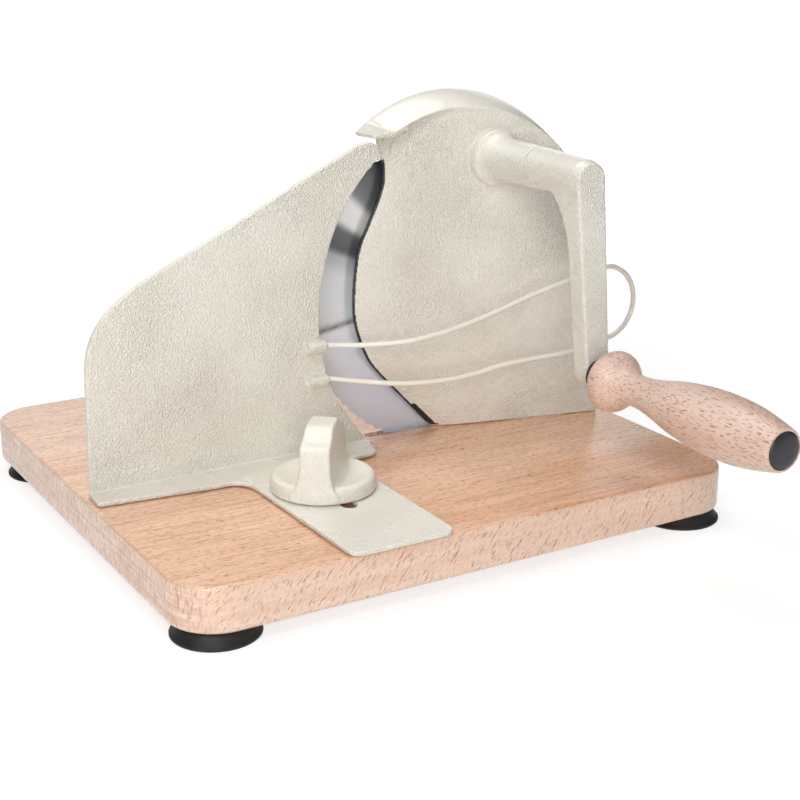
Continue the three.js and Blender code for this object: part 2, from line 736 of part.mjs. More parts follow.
function makeWire() {
  const [upper, lower] = sockets;
  const points = [
    [upper[0] - 4.4, socketY, upper[1]], [upper[0] + 3, socketY, upper[1]],
    [upper[0] + 8.5, socketY - 0.2, upper[1]],
    [-4, -31.6, 68], [12, -40, 69], [25, -45, 70.4], [44.5, -48.6, 73.8], [65, -51, 79], [78, -53, 83.2],
    [92, -54.6, 87.8], [105, -55.5, 91.4], [126, -56, 96], [145, -56, 99.4],
    ...arc(154.5, 78.2, 23.2, 82, -84, 9).map(([x, z]) => [x, -56, z]),
    [130, -56, 50.6], [104, -55.5, 50], [79.5, -53.6, 48.6], [65.5, -52, 46], [52, -50, 44.2],
    [41, -48.2, 43.6], [29, -45.6, 43.4], [12, -39.6, 44], [-4, -31.6, 45.6],
    [lower[0] + 8.5, socketY - 0.2, lower[1]], [lower[0] + 3, socketY, lower[1]],
    [lower[0] - 4.4, socketY, lower[1]],
  ].map(([x, y, z]) => new THREE.Vector3(x, y, z));
  const path = new THREE.CatmullRomCurve3(points, false, "centripetal");
  const round = shapeOf(arc(0, 0, wireRadius, 0, 315, 7));
  return solid(new THREE.ExtrudeGeometry(round, { extrudePath: path, steps: 76, bevelEnabled: false }));
}

function makeKnob() {
  const bottom = flangeTop + 2 * fitGap;
  const rim = bottom + knobBase;
  const disc = turnedZ([
    [0, bottom], [knobRadius - 0.6, bottom], [knobRadius, bottom + 0.6], [knobRadius - 0.4, rim - 3.6],
    [knobRadius - 1.6, rim - 1.4], [knobRadius - 3.6, rim], [knobRadius - 6, rim - 0.4],
    [knobRadius - 12, rim - 2.4], [0, rim - 3],
  ], clampX, clampY, 40);
  const head = bottom + knobHeight;
  const rising = [
    [28.8, bottom + 2], [28.8, rim - 1], [27.2, rim + 8], [25.4, head - 9.6], [24.6, head - 8],
    [22.8, head - 7.2], [19.4, head - 6.2], [15.2, head - 4.4], [12.4, head - 2.4], [10.2, head - 0.8],
    [7.6, head],
  ];
  const falling = rising.map(([x, z]) => [-x, z]).reverse();
  const side = [...rising, ...falling];
  const fin = prismY(side, -finThick / 2, finThick / 2, 1.8)
    .rotate([0, 0, finAngle]).translate([clampX, clampY, 0]);
  return cut(
    join(disc, fin),
    rodZ(washerRadius + 0.5, bottom - 5, washerTop + fitGap, clampX, clampY, 32),
    rodZ(studRadius + fitGap, bottom - 5, studTop + fitGap, clampX, clampY, 24),
  );
}

function makeStud() {
  return turnedZ([
    [0, -insertLength + 1], [studRadius - 1, -insertLength + 1], [studRadius, -insertLength + 2],
    [studRadius, studTop - 0.8], [studRadius - 0.8, studTop], [0, studTop],
  ], clampX, clampY, 24);
}

function makeClampWasher() {
  const inner = studRadius + runGap;
  return turnedZ([
    [inner, washerBottom], [washerRadius, washerBottom], [washerRadius, washerTop], [inner, washerTop],
    [inner, washerBottom],
  ], clampX, clampY, 32);
}

function makeInsert() {
  const inner = studRadius + runGap;
  return turnedZ([
    [inner, -insertLength], [insertRadius, -insertLength], [insertRadius, -0.4], [inner, -0.4],
    [inner, -insertLength],
  ], clampX, clampY, 24);
}

const feet = [
  { name: "front_left", x: footFromSide - boardLength / 2, y: footFromFront - boardWidth / 2 },
  { name: "front_right", x: boardLength / 2 - footFromSide, y: footFromFront - boardWidth / 2 },
  { name: "back_left", x: footFromSide - boardLength / 2, y: boardWidth / 2 - footFromBack },
  { name: "back_right", x: boardLength / 2 - footFromSide, y: boardWidth / 2 - footFromBack },
];
const rivetPlaces = arc(bladeX, bladeZ, rivetCircle, 30, 270, 2);
const pinionAngle = meshAngle + Math.PI + Math.PI / pinionTeeth;
const pinionScrewY = (pinionHubFront + pinionFront) / 2;
const hubBack = bossEnd - fitGap;
const shaftEnd = armFront + 9;
const setScrewY = (hubBack + armFront) / 2;
const socketY = plateFront - socketRadius + 0.6;
const scoopX = (z) => plateArcX - Math.sqrt(plateArcRadius ** 2 - (z - plateArcZ) ** 2);
const sockets = [[scoopX(68.4) - 4.7, 68.4], [scoopX(47.6) - 8.5, 47.6]];
const washerBottom = flangeTop + fitGap;
const washerTop = washerBottom + washerThick;
const studTop = 26;
const gripProfile = [
  [0, 14.4], [2, 16.6], [5, 17.9], [8.6, 17.4], [12.6, 14.9], [17, 11.7], [24.9, 9.3], [35.9, 9.7],
  [47.9, 11.8], [62.9, 15], [80.9, 17.2], [96.9, 17.8], [112.9, 17], [126.9, 14.8], [137.5, 12.4],
  [gripLength, capRadius + 1.3],
];

const cream = ["#e3ddcc", 0.55, 0.1];
const wood = ["#d9a27c", 0.6, 0];
const steel = ["#c9ccd1", 0.25, 1];
const polished = ["#d9dce0", 0.12, 1];
const rubber = ["#1c1c1e", 0.7, 0];
const black = ["#232326", 0.45, 0];
const nylon = ["#e9e7df", 0.5, 0];
const brass = ["#c2a25c", 0.35, 1];

const part = new THREE.Group();
part.name = "hand_cranked_slicer";

function place(name, body, [colour, roughness, metalness]) {
  const mesh = body.getMesh();
  const geometry = new THREE.BufferGeometry();
  geometry.setAttribute("position", new THREE.BufferAttribute(new Float32Array(mesh.vertProperties), 3));
  geometry.setIndex(new THREE.BufferAttribute(new Uint32Array(mesh.triVerts), 1));
  const material = new THREE.MeshStandardMaterial({ color: colour, roughness, metalness });
  const made = new THREE.Mesh(geometry, material);
  made.name = name;
  part.add(made);
}

place("board", makeBoard(), wood);
for (const foot of feet) {
  place("foot_" + foot.name, makeFoot(foot), rubber);
  place("foot_screw_" + foot.name, makeFootScrew(foot), steel);
}
place("housing", makeHousing(), cream);
lugs.forEach((lug, i) => place("housing_screw_" + (i + 1), makeHousingScrew(lug), steel));
place("blade_axle", makeAxle(), steel);
place("blade", makeBlade(), polished);
place("blade_gear", makeBladeGear(), nylon);
rivetPlaces.forEach((spot, i) => place("blade_rivet_" + (i + 1), makeRivet(spot), steel));
place("blade_washer", makeBladeWasher(), steel);
place("blade_screw", makeBladeScrew(), steel);
place("crank_bush", makeCrankBush(), brass);
place("crank_shaft", makeShaft(), steel);
place("crank_pinion", makePinion(), steel);
place("pinion_set_screw", makeSetScrew(1.6, pinionScrewY, pinionHubRadius - 0.4), steel);
place("crank_arm", makeCrankArm(), cream);
place("crank_set_screw", makeSetScrew(1.9, setScrewY, hubRadius - 0.6), steel);
place("grip_washer", makeGripWasher(), black);
place("grip_bolt", makeGripBolt(), steel);
place("grip", makeGrip(), wood);
place("grip_cap", makeGripCap(), black);
place("stop_plate", makeStopPlate(), cream);
place("guard_wire", makeWire(), cream);
place("board_insert", makeInsert(), brass);
place("clamp_washer", makeClampWasher(), steel);
place("clamp_stud", makeStud(), steel);
place("clamp_knob", makeKnob(), cream);

const extent = new THREE.Box3().setFromObject(part);
const middle = extent.getCenter(new THREE.Vector3());
for (const mesh of part.children) {
  mesh.geometry.translate(-middle.x, -middle.y, -extent.min.z);
}

export default part;
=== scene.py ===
import math

import bmesh
import bpy
import numpy as np
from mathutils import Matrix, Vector


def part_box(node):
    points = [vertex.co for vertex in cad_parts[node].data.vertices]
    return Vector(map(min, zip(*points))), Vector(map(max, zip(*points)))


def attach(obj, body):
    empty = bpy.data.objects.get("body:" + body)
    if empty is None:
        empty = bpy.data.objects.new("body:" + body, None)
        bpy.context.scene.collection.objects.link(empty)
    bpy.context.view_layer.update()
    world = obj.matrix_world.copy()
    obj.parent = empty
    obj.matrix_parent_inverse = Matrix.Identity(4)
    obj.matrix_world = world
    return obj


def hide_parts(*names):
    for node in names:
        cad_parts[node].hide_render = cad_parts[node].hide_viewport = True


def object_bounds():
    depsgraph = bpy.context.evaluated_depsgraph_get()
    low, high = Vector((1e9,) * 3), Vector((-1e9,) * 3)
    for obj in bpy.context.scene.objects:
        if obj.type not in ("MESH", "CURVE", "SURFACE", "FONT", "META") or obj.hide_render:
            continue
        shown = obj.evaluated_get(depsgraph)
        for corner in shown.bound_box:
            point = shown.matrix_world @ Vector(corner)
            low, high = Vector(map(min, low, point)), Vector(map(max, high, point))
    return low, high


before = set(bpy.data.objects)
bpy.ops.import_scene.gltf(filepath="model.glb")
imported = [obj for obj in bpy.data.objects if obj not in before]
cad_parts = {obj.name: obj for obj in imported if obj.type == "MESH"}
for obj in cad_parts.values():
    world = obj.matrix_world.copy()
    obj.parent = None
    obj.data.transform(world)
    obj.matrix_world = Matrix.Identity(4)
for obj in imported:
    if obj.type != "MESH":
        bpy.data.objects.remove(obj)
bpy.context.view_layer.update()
MM = 0.001
board_low, board_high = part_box("board")
SHIFT = np.array(((board_low.x + board_high.x) / 2, (board_low.y + board_high.y) / 2, board_high.z)) / MM

# Board and feet
BOARD_LENGTH, BOARD_DEPTH, BOARD_THICK = 350.0, 326.0, 25.6
BOARD_CORNER = 27.0
BOARD_EDGE = 2.2
SLOT_WIDTH = 8.0
SLOT_END_ROOM, SLOT_ROOM_BELOW = 14.7, 2.5
GROOVE_WIDTH, GROOVE_FRONT, GROOVE_BACK, GROOVE_BOTTOM = 7.7, -157.3, -16.2, -4.35
INSERT_HOLE_RADIUS, INSERT_HOLE_BOTTOM = 6.9, -18.0
SCREW_HEAD_RADIUS, SCREW_HEAD_DEPTH, SCREW_HOLE_RADIUS = 5.5, 5.5, 2.75
TOOL_REACH = 10.0
FOOT_RADIUS = 23.8
FOOT_BOTTOM, FOOT_TOP = -34.1, -25.9
FEET = {"front_left": (-150.5, -140), "front_right": (150.5, -140),
        "back_left": (-150.5, 128), "back_right": (150.5, 128)}

# Blade and its axle
BLADE_RADIUS = 97.0
BLADE_X, BLADE_Z = 71.0, 86.6
BLADE_AT = (BLADE_X, 0, BLADE_Z)
BLADE_TEETH = 80
TOOTH_DEPTH = 1.7
TIP_REACH = 0.9
BLADE_FRONT, BLADE_BACK = -4.0, -2.7
AXLE_RADIUS = 5.0
BLADE_HOLE_RADIUS = AXLE_RADIUS + 0.35
BLADE_CORE_RADIUS = 20.0

# Painted reflection on the blade, light and dark sectors: angle up from the left in radians, and display
# colour
REFLECTION_START, REFLECTION_END = 3.15, -3.15
BLADE_REFLECTION_BANDS = [
    (3.15, (206, 211, 217)), (2.75, (244, 248, 252)), (2.2, (214, 219, 226)), (1.7, (186, 190, 196)),
    (1.3, (110, 112, 117)), (1.08, (60, 61, 64)), (0.9, (112, 114, 118)), (0.8, (132, 134, 138)),
    (0.73, (252, 252, 253)), (0.61, (252, 252, 253)), (0.55, (112, 114, 118)), (0.41, (100, 102, 106)),
    (0.37, (196, 199, 204)), (0.2, (232, 237, 242)), (-0.14, (240, 245, 250)), (-0.16, (104, 107, 114)),
    (-0.18, (104, 107, 114)), (-0.2, (244, 249, 255)), (-0.5, (232, 241, 255)), (-1.0, (226, 238, 255)),
    (-1.5, (228, 240, 255)), (-1.9, (188, 193, 200)), (-2.15, (128, 131, 137)), (-2.3, (128, 131, 137)),
    (-2.5, (196, 200, 207)), (-2.8, (236, 241, 246)), (-3.15, (206, 211, 217)),
]

# Housing
HOOD_RADIUS = 97.8
HOOD_X, HOOD_Z = 70.7, 111.9
HOOD_START, HOOD_END = 37.0, 121.5
HOOD_INSET = 9.0
HOOD_BULGE = 0.3
RIGHT_BULGE = 0.2
LIP_DEPTH = 20.0
LIP_START, LIP_FADE = 2, 6
CREST_LIMIT, CREST_EASE = 34, 4
SHELL_WALL = 3.0
RIGHT_WALL = 2.2
FACE_WALL = 2.6
LEFT_OPENING, FLOOR_OPENING = -9.0, -5.0
FACE_NEAR, FACE_GAIN = 11.7, 25.3
EDGE_DEPTH, EDGE_DEPTH_LOW, EDGE_GAIN, EDGE_EASE = 10.0, 7, 0.15, 6
RIM_GROOVE, RIM_GROOVE_REACH, RIM_GROOVE_END, RIM_GROOVE_FADE = 2.4, 22, 30, 10
SKIN_INSETS = [0, 0.4, 1, 1.8, 2.8, 4, 5.4, 7, 8.2, 9, 10, 11, 12, 13, 15, 18, 22, 27, 33, 40]
HOUSING_RIGHT = 173.5
HOUSING_FLOOR = -30.0
RIGHT_DRAFT = 10.0
RIGHT_EDGE = [
    (HOUSING_RIGHT, HOUSING_FLOOR), (HOUSING_RIGHT, 30), (172.6, 75), (169.5, 112), (164, 140), (155, 163),
]
CENTRE_X, CENTRE_Z = 82.0, 96.0
LUGS = [(96.0, -16.8, 4.4), (150.0, -29.0, 5.0), (165.5, -8.0, 5.2)]
LUG_HEIGHT = 17.0
LUG_BORE_RADIUS = 2.7
AXLE_BORE_END = -17.3
VISOR_REACH = -19
VISOR_BACK_LOW = [(10.4, 185.5), (24, 185.6), (34, 191)]
VISOR_FRONT = [
    (31.8, 191.6), (28, 190.2), (24, 189.4), (19.5, 188.9), (15, 188.4), (10.9, 187.7), (12.2, 185.8),
    (25, 186.2), (36, 190.4),
]
AXLE_BOSS_RADIUS, AXLE_BOSS_END = 11.0, -9.6
SHAFT_BOSS_RADIUS, SHAFT_BOSS_END = 13.0, -15.6
# Painted shade on the housing's cut edge beside the blade: reach from the edge, how far the surface faces
# left, lowest and highest place
GAP_SHADE_ZONE = 4.0
GAP_SHADE_TILT = -0.3
GAP_SHADE_BOTTOM, GAP_SHADE_TOP = 1.0, 172.0
LEFT_EDGE = [
    (-30, 58), (0, 58), (3, 55.2), (24, 34.9), (45.8, 15), (57.7, 8.2), (70.8, 3.6), (83.6, 1.7),
    (101.8, 2.6), (119.9, 5.5), (134, 11.9), (148.4, 18.8), (159.9, 22.3), (171.5, 21.7), (183, 18.6),
    (196, 18.2),
]

# Crank
CRANK_AT = (92.0, 0, 169.997)
BOSS_RADIUS, BOSS_FLARE, BOSS_END = 12.2, 17.0, -69.4
BORE_RADIUS = 8.65
GRIP_AT = (102.0, 0, 56.3)
GRIP_BACK, GRIP_LENGTH = -129.0, 140.8
GRIP_BORE_RADIUS = 3.85
CAP_RADIUS = 10.0
CAP_POCKET, CAP_ROOM = 12.0, 0.3

# Stop plate and clamp
PLATE_FRONT, FLANGE_TOP, FLANGE_BOTTOM = -19.8, 3.3, 1.0
CREASE_TOP, CREASE_CUT = 21.0, 2.2
RIB_X = -76.0
RIB_HALF, RIB_FRONT, RIB_BACK, RIB_BOTTOM = 3.5, -150.0, -28.0, -4.0
RECESS_LEFT, RECESS_RIGHT, RECESS_FRONT, RECESS_BACK, RECESS_DEPTH = -87.6, -85.6, -51.3, -38.4, 0.9
CLAMP_X, CLAMP_Y = -55.0, -76.0
CLAMP_AT = (CLAMP_X, CLAMP_Y, 0)
KNOB_BOTTOM = 3.9
KNOB_RADIUS = 30.0
KNOB_BASE = 9.0
FIN_ANGLE = 232.0
WASHER_ROOM, WASHER_ROOM_TOP = 11.5, 5.4
STUD_ROOM, STUD_ROOM_TOP = 4.3, 26.3
WING_CORNER = 1.8

# Guard wire
WIRE_RADIUS = 1.6
WIRE_ROUNDNESS = 4

# Camera, solved from the photograph
CAMERA_PLACE = (-424.69, -785.67, 313.36)
CAMERA_AZIMUTH, CAMERA_ELEVATION = -30.6, 17.93
CAMERA_FOCAL_PIXELS = 1524.7
IMAGE_PIXELS = 800
SENSOR_MM = 36.0

# Room: how bright the world is behind the object and behind the camera, and how the floor reads
ROOM_BACK = 1.0
ROOM_FRONT = 0.64
FLOOR_GLOW = 0.74
FLOOR_SHADOW = 0.36
GLOW_NEAR, GLOW_FAR = 0.3, 1.1
FLOOR_SIZE = 6000

# Lamps: name, place, width and height in metres, watts, tint
LAMP_TARGET = (0, -30, 70)
LAMPS = [
    ("key_left", (-520, -500, 760), (0.3, 0.3), 3.2, (1, 0.995, 0.98)),
    ("front", (-900, -1300, 460), (1.0, 0.8), 13.0, (1, 1, 1)),
    ("behind", (300, 1700, 620), (2.6, 0.9), 9.0, (1, 1, 1)),
    ("side_right", (900, -1000, 700), (0.6, 0.8), 2.0, (1, 1, 1)),
    ("above", (60, 200, 1300), (0.9, 0.7), 8.2, (1, 1, 1)),
]


# Meshes
def place_of(point):
    return tuple(((np.asarray(point, float) + SHIFT) * MM).tolist())


def new_object(name, vertices, faces):
    mesh = bpy.data.meshes.new(name)
    mesh.from_pydata([place_of(vertex) for vertex in vertices], [], faces)
    mesh.update()
    piece = bpy.data.objects.new(name, mesh)
    bpy.context.scene.collection.objects.link(piece)
    mend(piece)
    return piece


def mend(piece, merge=None, degenerate=None):
    """Turns the faces outward, after joining doubled points and taking out faces of no size."""
    work = bmesh.new()
    work.from_mesh(piece.data)
    if merge is not None:
        bmesh.ops.remove_doubles(work, verts=work.verts, dist=merge)
    if degenerate is not None:
        bmesh.ops.dissolve_degenerate(work, edges=work.edges, dist=degenerate)
    bmesh.ops.recalc_face_normals(work, faces=work.faces)
    work.to_mesh(piece.data)
    work.free()


def apply_modifiers(piece):
    bpy.context.view_layer.update()
    graph = bpy.context.evaluated_depsgraph_get()
    mesh = bpy.data.meshes.new_from_object(piece.evaluated_get(graph))
    piece.modifiers.clear()
    piece.data = mesh


def combine(piece, other, operation):
    change = piece.modifiers.new("combine", "BOOLEAN")
    change.operation = operation
    change.solver = "MANIFOLD"
    change.object = other
    apply_modifiers(piece)
    bpy.data.objects.remove(other)
    return piece


def cut(piece, *tools):
    for tool in tools:
        combine(piece, tool, "DIFFERENCE")
    return piece


def join(piece, *others):
    for other in others:
        combine(piece, other, "UNION")
    return piece


def twin(piece):
    copy = bpy.data.objects.new(piece.name + "_twin", piece.data.copy())
    bpy.context.scene.collection.objects.link(copy)
    return copy


def smooth_shade(piece, angle=35.0):
    piece.data.shade_smooth()
    if angle < 180:
        piece.data.set_sharp_from_angle(angle=math.radians(angle))


def cast(piece, voxel, rounds):
    """Gives a piece the soft edges and fillets of a coated casting."""
    remesh = piece.modifiers.new("remesh", "REMESH")
    remesh.mode = "VOXEL"
    remesh.voxel_size = voxel * MM
    smooth = piece.modifiers.new("smooth", "SMOOTH")
    smooth.factor = 0.5
    smooth.iterations = rounds
    apply_modifiers(piece)
    smooth_shade(piece, angle=180)
    return piece


def copy_of(node, name):
    piece = bpy.data.objects.new(name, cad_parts[node].data.copy())
    piece.data.materials.clear()
    bpy.context.scene.collection.objects.link(piece)
    mend(piece, 1e-6)
    return piece


def smooth_line(points, count):
    """A Catmull-Rom line through points, ends included."""
    knots = np.array(points, float)
    padded = np.vstack([2 * knots[0] - knots[1], knots, 2 * knots[-1] - knots[-2]])
    places = np.linspace(0, len(knots) - 1, count)
    line = []
    for place in places:
        i = min(int(place), len(knots) - 2)
        t = place - i
        a, b, c, d = padded[i:i + 4]
        line.append(0.5 * (2 * b + (c - a) * t + (2 * a - 5 * b + 4 * c - d) * t ** 2
                           + (3 * b - a - 3 * c + d) * t ** 3))
    return np.array(line)


def arc(x, y, r, start, end, count):
    angles = np.radians(np.linspace(start, end, count))
    return [(x + r * math.cos(a), y + r * math.sin(a)) for a in angles]


def turned(name, profile, centre, axis, segments=96):
    """Turned about an axis through the centre, from points (radius, place along the axis)."""
    vertices = []
    for r, along in profile:
        for turn in np.linspace(0, 2 * math.pi, segments, endpoint=False):
            u, v = r * math.cos(turn), r * math.sin(turn)
            place = (u, along, v) if axis == "Y" else (u, v, along)
            vertices.append(np.add(centre, place))
    rings = len(profile)
    faces = []
    for ring in range(rings - 1):
        for i in range(segments):
            j = (i + 1) % segments
            faces.append((ring * segments + i, ring * segments + j,
                          (ring + 1) * segments + j, (ring + 1) * segments + i))
    if profile[0] != profile[-1]:
        faces.append(tuple(range(segments)))
        faces.append(tuple(range((rings - 1) * segments, rings * segments)))
    piece = new_object(name, vertices, faces)
    mend(piece, 1e-7, 1e-8)
    return piece


def prism(name, outline, low, high, axis):
    """Straight along X from points (y, z), along Y from points (x, z), or along Z from points (x, y)."""
    vertices = []
    for level in (low, high):
        for a, b in outline:
            places = {"X": (level, a, b), "Y": (a, level, b), "Z": (a, b, level)}
            vertices.append(places[axis])
    count = len(outline)
    faces = [tuple(range(count)), tuple(range(count, 2 * count))]
    for i in range(count):
        j = (i + 1) % count
        faces.append((i, j, count + j, count + i))
    return new_object(name, vertices, faces)


def bar_outline(x0, x1, y0, y1, count=24):
    r = min(x1 - x0, y1 - y0) / 2
    if x1 - x0 > y1 - y0:
        return arc(x1 - r, y0 + r, r, -90, 90, count) + arc(x0 + r, y0 + r, r, 90, 270, count)
    return arc(x0 + r, y1 - r, r, 0, 180, count) + arc(x0 + r, y0 + r, r, 180, 360, count)


def bevel(piece, width, segments, angle):
    change = piece.modifiers.new("bevel", "BEVEL")
    change.width = width * MM
    change.segments = segments
    change.limit_method = "ANGLE"
    change.angle_limit = math.radians(angle)
    apply_modifiers(piece)
    smooth_shade(piece)
    return piece


# Materials
class Shader:
    """A material with one Principled shader and short calls for the nodes that feed it."""

    def __init__(self, name, **sockets):
        self.material = bpy.data.materials.new(name)
        self.material.use_nodes = True
        self.tree = self.material.node_tree
        self.surface = self.tree.nodes["Principled BSDF"]
        for socket, value in sockets.items():
            self.surface.inputs[socket.replace("_", " ")].default_value = value
        self.place = self.tree.nodes.new("ShaderNodeTexCoord").outputs["Object"]

    def node(self, kind, inputs=None, **settings):
        made = self.tree.nodes.new("ShaderNode" + kind)
        for name, value in settings.items():
            setattr(made, name, value)
        for name, value in (inputs or {}).items():
            if isinstance(value, bpy.types.NodeSocket):
                self.tree.links.new(value, made.inputs[name])
            else:
                made.inputs[name].default_value = value
        return made

    def link(self, output, socket):
        self.tree.links.new(output, self.surface.inputs[socket])

    def scaled(self, scale):
        return self.node("Mapping", {"Vector": self.place, "Scale": scale}).outputs[0]

    def turned(self, turn, scale):
        """Place turned about the origin first and then stretched along the turned axes."""
        first = self.node("Mapping", {"Vector": self.place, "Rotation": turn}).outputs[0]
        return self.node("Mapping", {"Vector": first, "Scale": scale}).outputs[0]

    def noise(self, vector, scale=1.0, detail=3.0, rough=0.5, distort=0.0):
        inputs = {"Vector": vector, "Scale": scale, "Detail": detail, "Roughness": rough,
                  "Distortion": distort}
        return self.node("TexNoise", inputs).outputs[0]

    def spread(self, value, low, high, to_low=0.0, to_high=1.0, smooth=False):
        inputs = {"Value": value, "From Min": low, "From Max": high, "To Min": to_low, "To Max": to_high}
        kind = "SMOOTHSTEP" if smooth else "LINEAR"
        return self.node("MapRange", inputs, interpolation_type=kind).outputs[0]

    def maths(self, operation, first, second):
        return self.node("Math", {0: first, 1: second}, operation=operation).outputs[0]

    def mix(self, share, first, second):
        made = self.node("Mix", data_type="RGBA")
        for socket, value in ((made.inputs[0], share), (made.inputs[6], first), (made.inputs[7], second)):
            if isinstance(value, bpy.types.NodeSocket):
                self.tree.links.new(value, socket)
            else:
                socket.default_value = value
        return made.outputs[2]

    def bump(self, height, distance, strength=1.0, before=None):
        inputs = {"Height": height, "Distance": distance, "Strength": strength}
        if before is not None:
            inputs["Normal"] = before
        return self.node("Bump", inputs).outputs[0]


def colour(red, green, blue):
    """Linear colour from the 0 to 255 values of a display colour."""
    def linear(value):
        share = value / 255
        return share / 12.92 if share <= 0.04045 else ((share + 0.055) / 1.055) ** 2.4
    return (linear(red), linear(green), linear(blue), 1.0)


CREAM, CREAM_DARK = colour(236, 233, 223), colour(229, 224, 212)
# Painted shade for the pits of the enamel's grain and painted highlight for its tips
CREAM_PIT_SHADE, CREAM_TIP_HIGHLIGHT = colour(184, 175, 154), colour(248, 245, 236)
# Painted shade for the housing's cut edge beside the blade
GAP_SHADE_DARK = colour(26, 26, 28)
BOARD_TOP, BOARD_TOP_BAND = colour(244, 202, 170), colour(231, 176, 137)
BOARD_TOP_STREAK, BOARD_TOP_LINE = colour(250, 216, 190), colour(196, 134, 98)
BOARD_SIDE, BOARD_SIDE_STREAK = colour(228, 192, 168), colour(241, 216, 198)
BOARD_PORE, BOARD_FLECK, BOARD_DASH = colour(150, 92, 62), colour(168, 118, 92), colour(203, 158, 134)
BOARD_RING, BOARD_RAY = colour(205, 162, 138), colour(182, 132, 106)
GRIP_WOOD, GRIP_STREAK = colour(212, 178, 160), colour(226, 200, 186)
GRIP_FLECK, GRIP_RAY = colour(172, 118, 92), colour(204, 158, 134)
STEEL_RING = colour(120, 124, 132)
STEEL, BRASS = colour(205, 207, 212), colour(196, 163, 94)
RUBBER, CAP_BLACK, NYLON = colour(20, 18, 19), colour(38, 36, 40), colour(206, 203, 192)
FLOOR_PALE, FLOOR_PALE_CLOUD = colour(250, 250, 250), colour(247, 247, 247)

# Name of the mesh attribute that marks where shade is painted on the housing's cut edge beside the blade
GAP_SHADE_ATTRIBUTE = "painted_gap_shade"


def enamel(name, grain_mm, grain_height_mm, depth, roughness):
    """Cream enamel over a cast surface, with the fine pebbled grain of the casting, painted shade in the pits
    of the grain, painted highlight on its tips, and painted shade on the marked cut edge beside the blade.
    """
    shader = Shader(name, Roughness=roughness, Coat_Weight=0.3, Coat_Roughness=0.2)
    tone = shader.noise(shader.place, 22, 4)
    grain = shader.noise(shader.place, 1 / (grain_mm * MM), 0.5, 0.5)
    coarse = shader.noise(shader.place, 0.4 / (grain_mm * MM), 1, 0.5)
    pebble = shader.maths("ADD", shader.spread(grain, 0.3, 0.7, 0, 0.75),
                          shader.spread(coarse, 0.3, 0.7, 0, 0.25))
    base = shader.mix(shader.spread(tone, 0.35, 0.7), CREAM, CREAM_DARK)
    # Painted shade in the pits of the grain and painted highlight on its tips; depth sets how strong they are
    pit_shaded = shader.mix(shader.spread(pebble, 0.45, 0.15, 0, depth), base, CREAM_PIT_SHADE)
    tip_highlighted = shader.mix(shader.spread(pebble, 0.55, 0.85, 0, depth), pit_shaded, CREAM_TIP_HIGHLIGHT)
    # Painted shade: the marked cut edge beside the blade turns dark
    gap_shade = shader.node("Attribute", attribute_name=GAP_SHADE_ATTRIBUTE).outputs["Fac"]
    shader.link(shader.mix(gap_shade, tip_highlighted, GAP_SHADE_DARK), "Base Color")
    wave = shader.noise(shader.place, 60, 2)
    broad = shader.bump(wave, 0.0006, 0.5)
    facing = shader.node("SeparateXYZ", {0: shader.node("NewGeometry").outputs["Normal"]})
    upright = shader.spread(shader.maths("ABSOLUTE", facing.outputs[2], 0.0), 0.35, 0.75, 1.0, 0.15)
    patch = shader.spread(shader.noise(shader.place, 16, 1.0), 0.4, 0.62, 0.7, 1.0)
    patch = shader.maths("MULTIPLY", patch, upright)
    shader.link(shader.bump(pebble, grain_height_mm * MM, patch, broad), "Normal")
    shader.link(shader.spread(tone, 0.3, 0.8, roughness - 0.05, roughness + 0.08), "Roughness")
    return shader.material


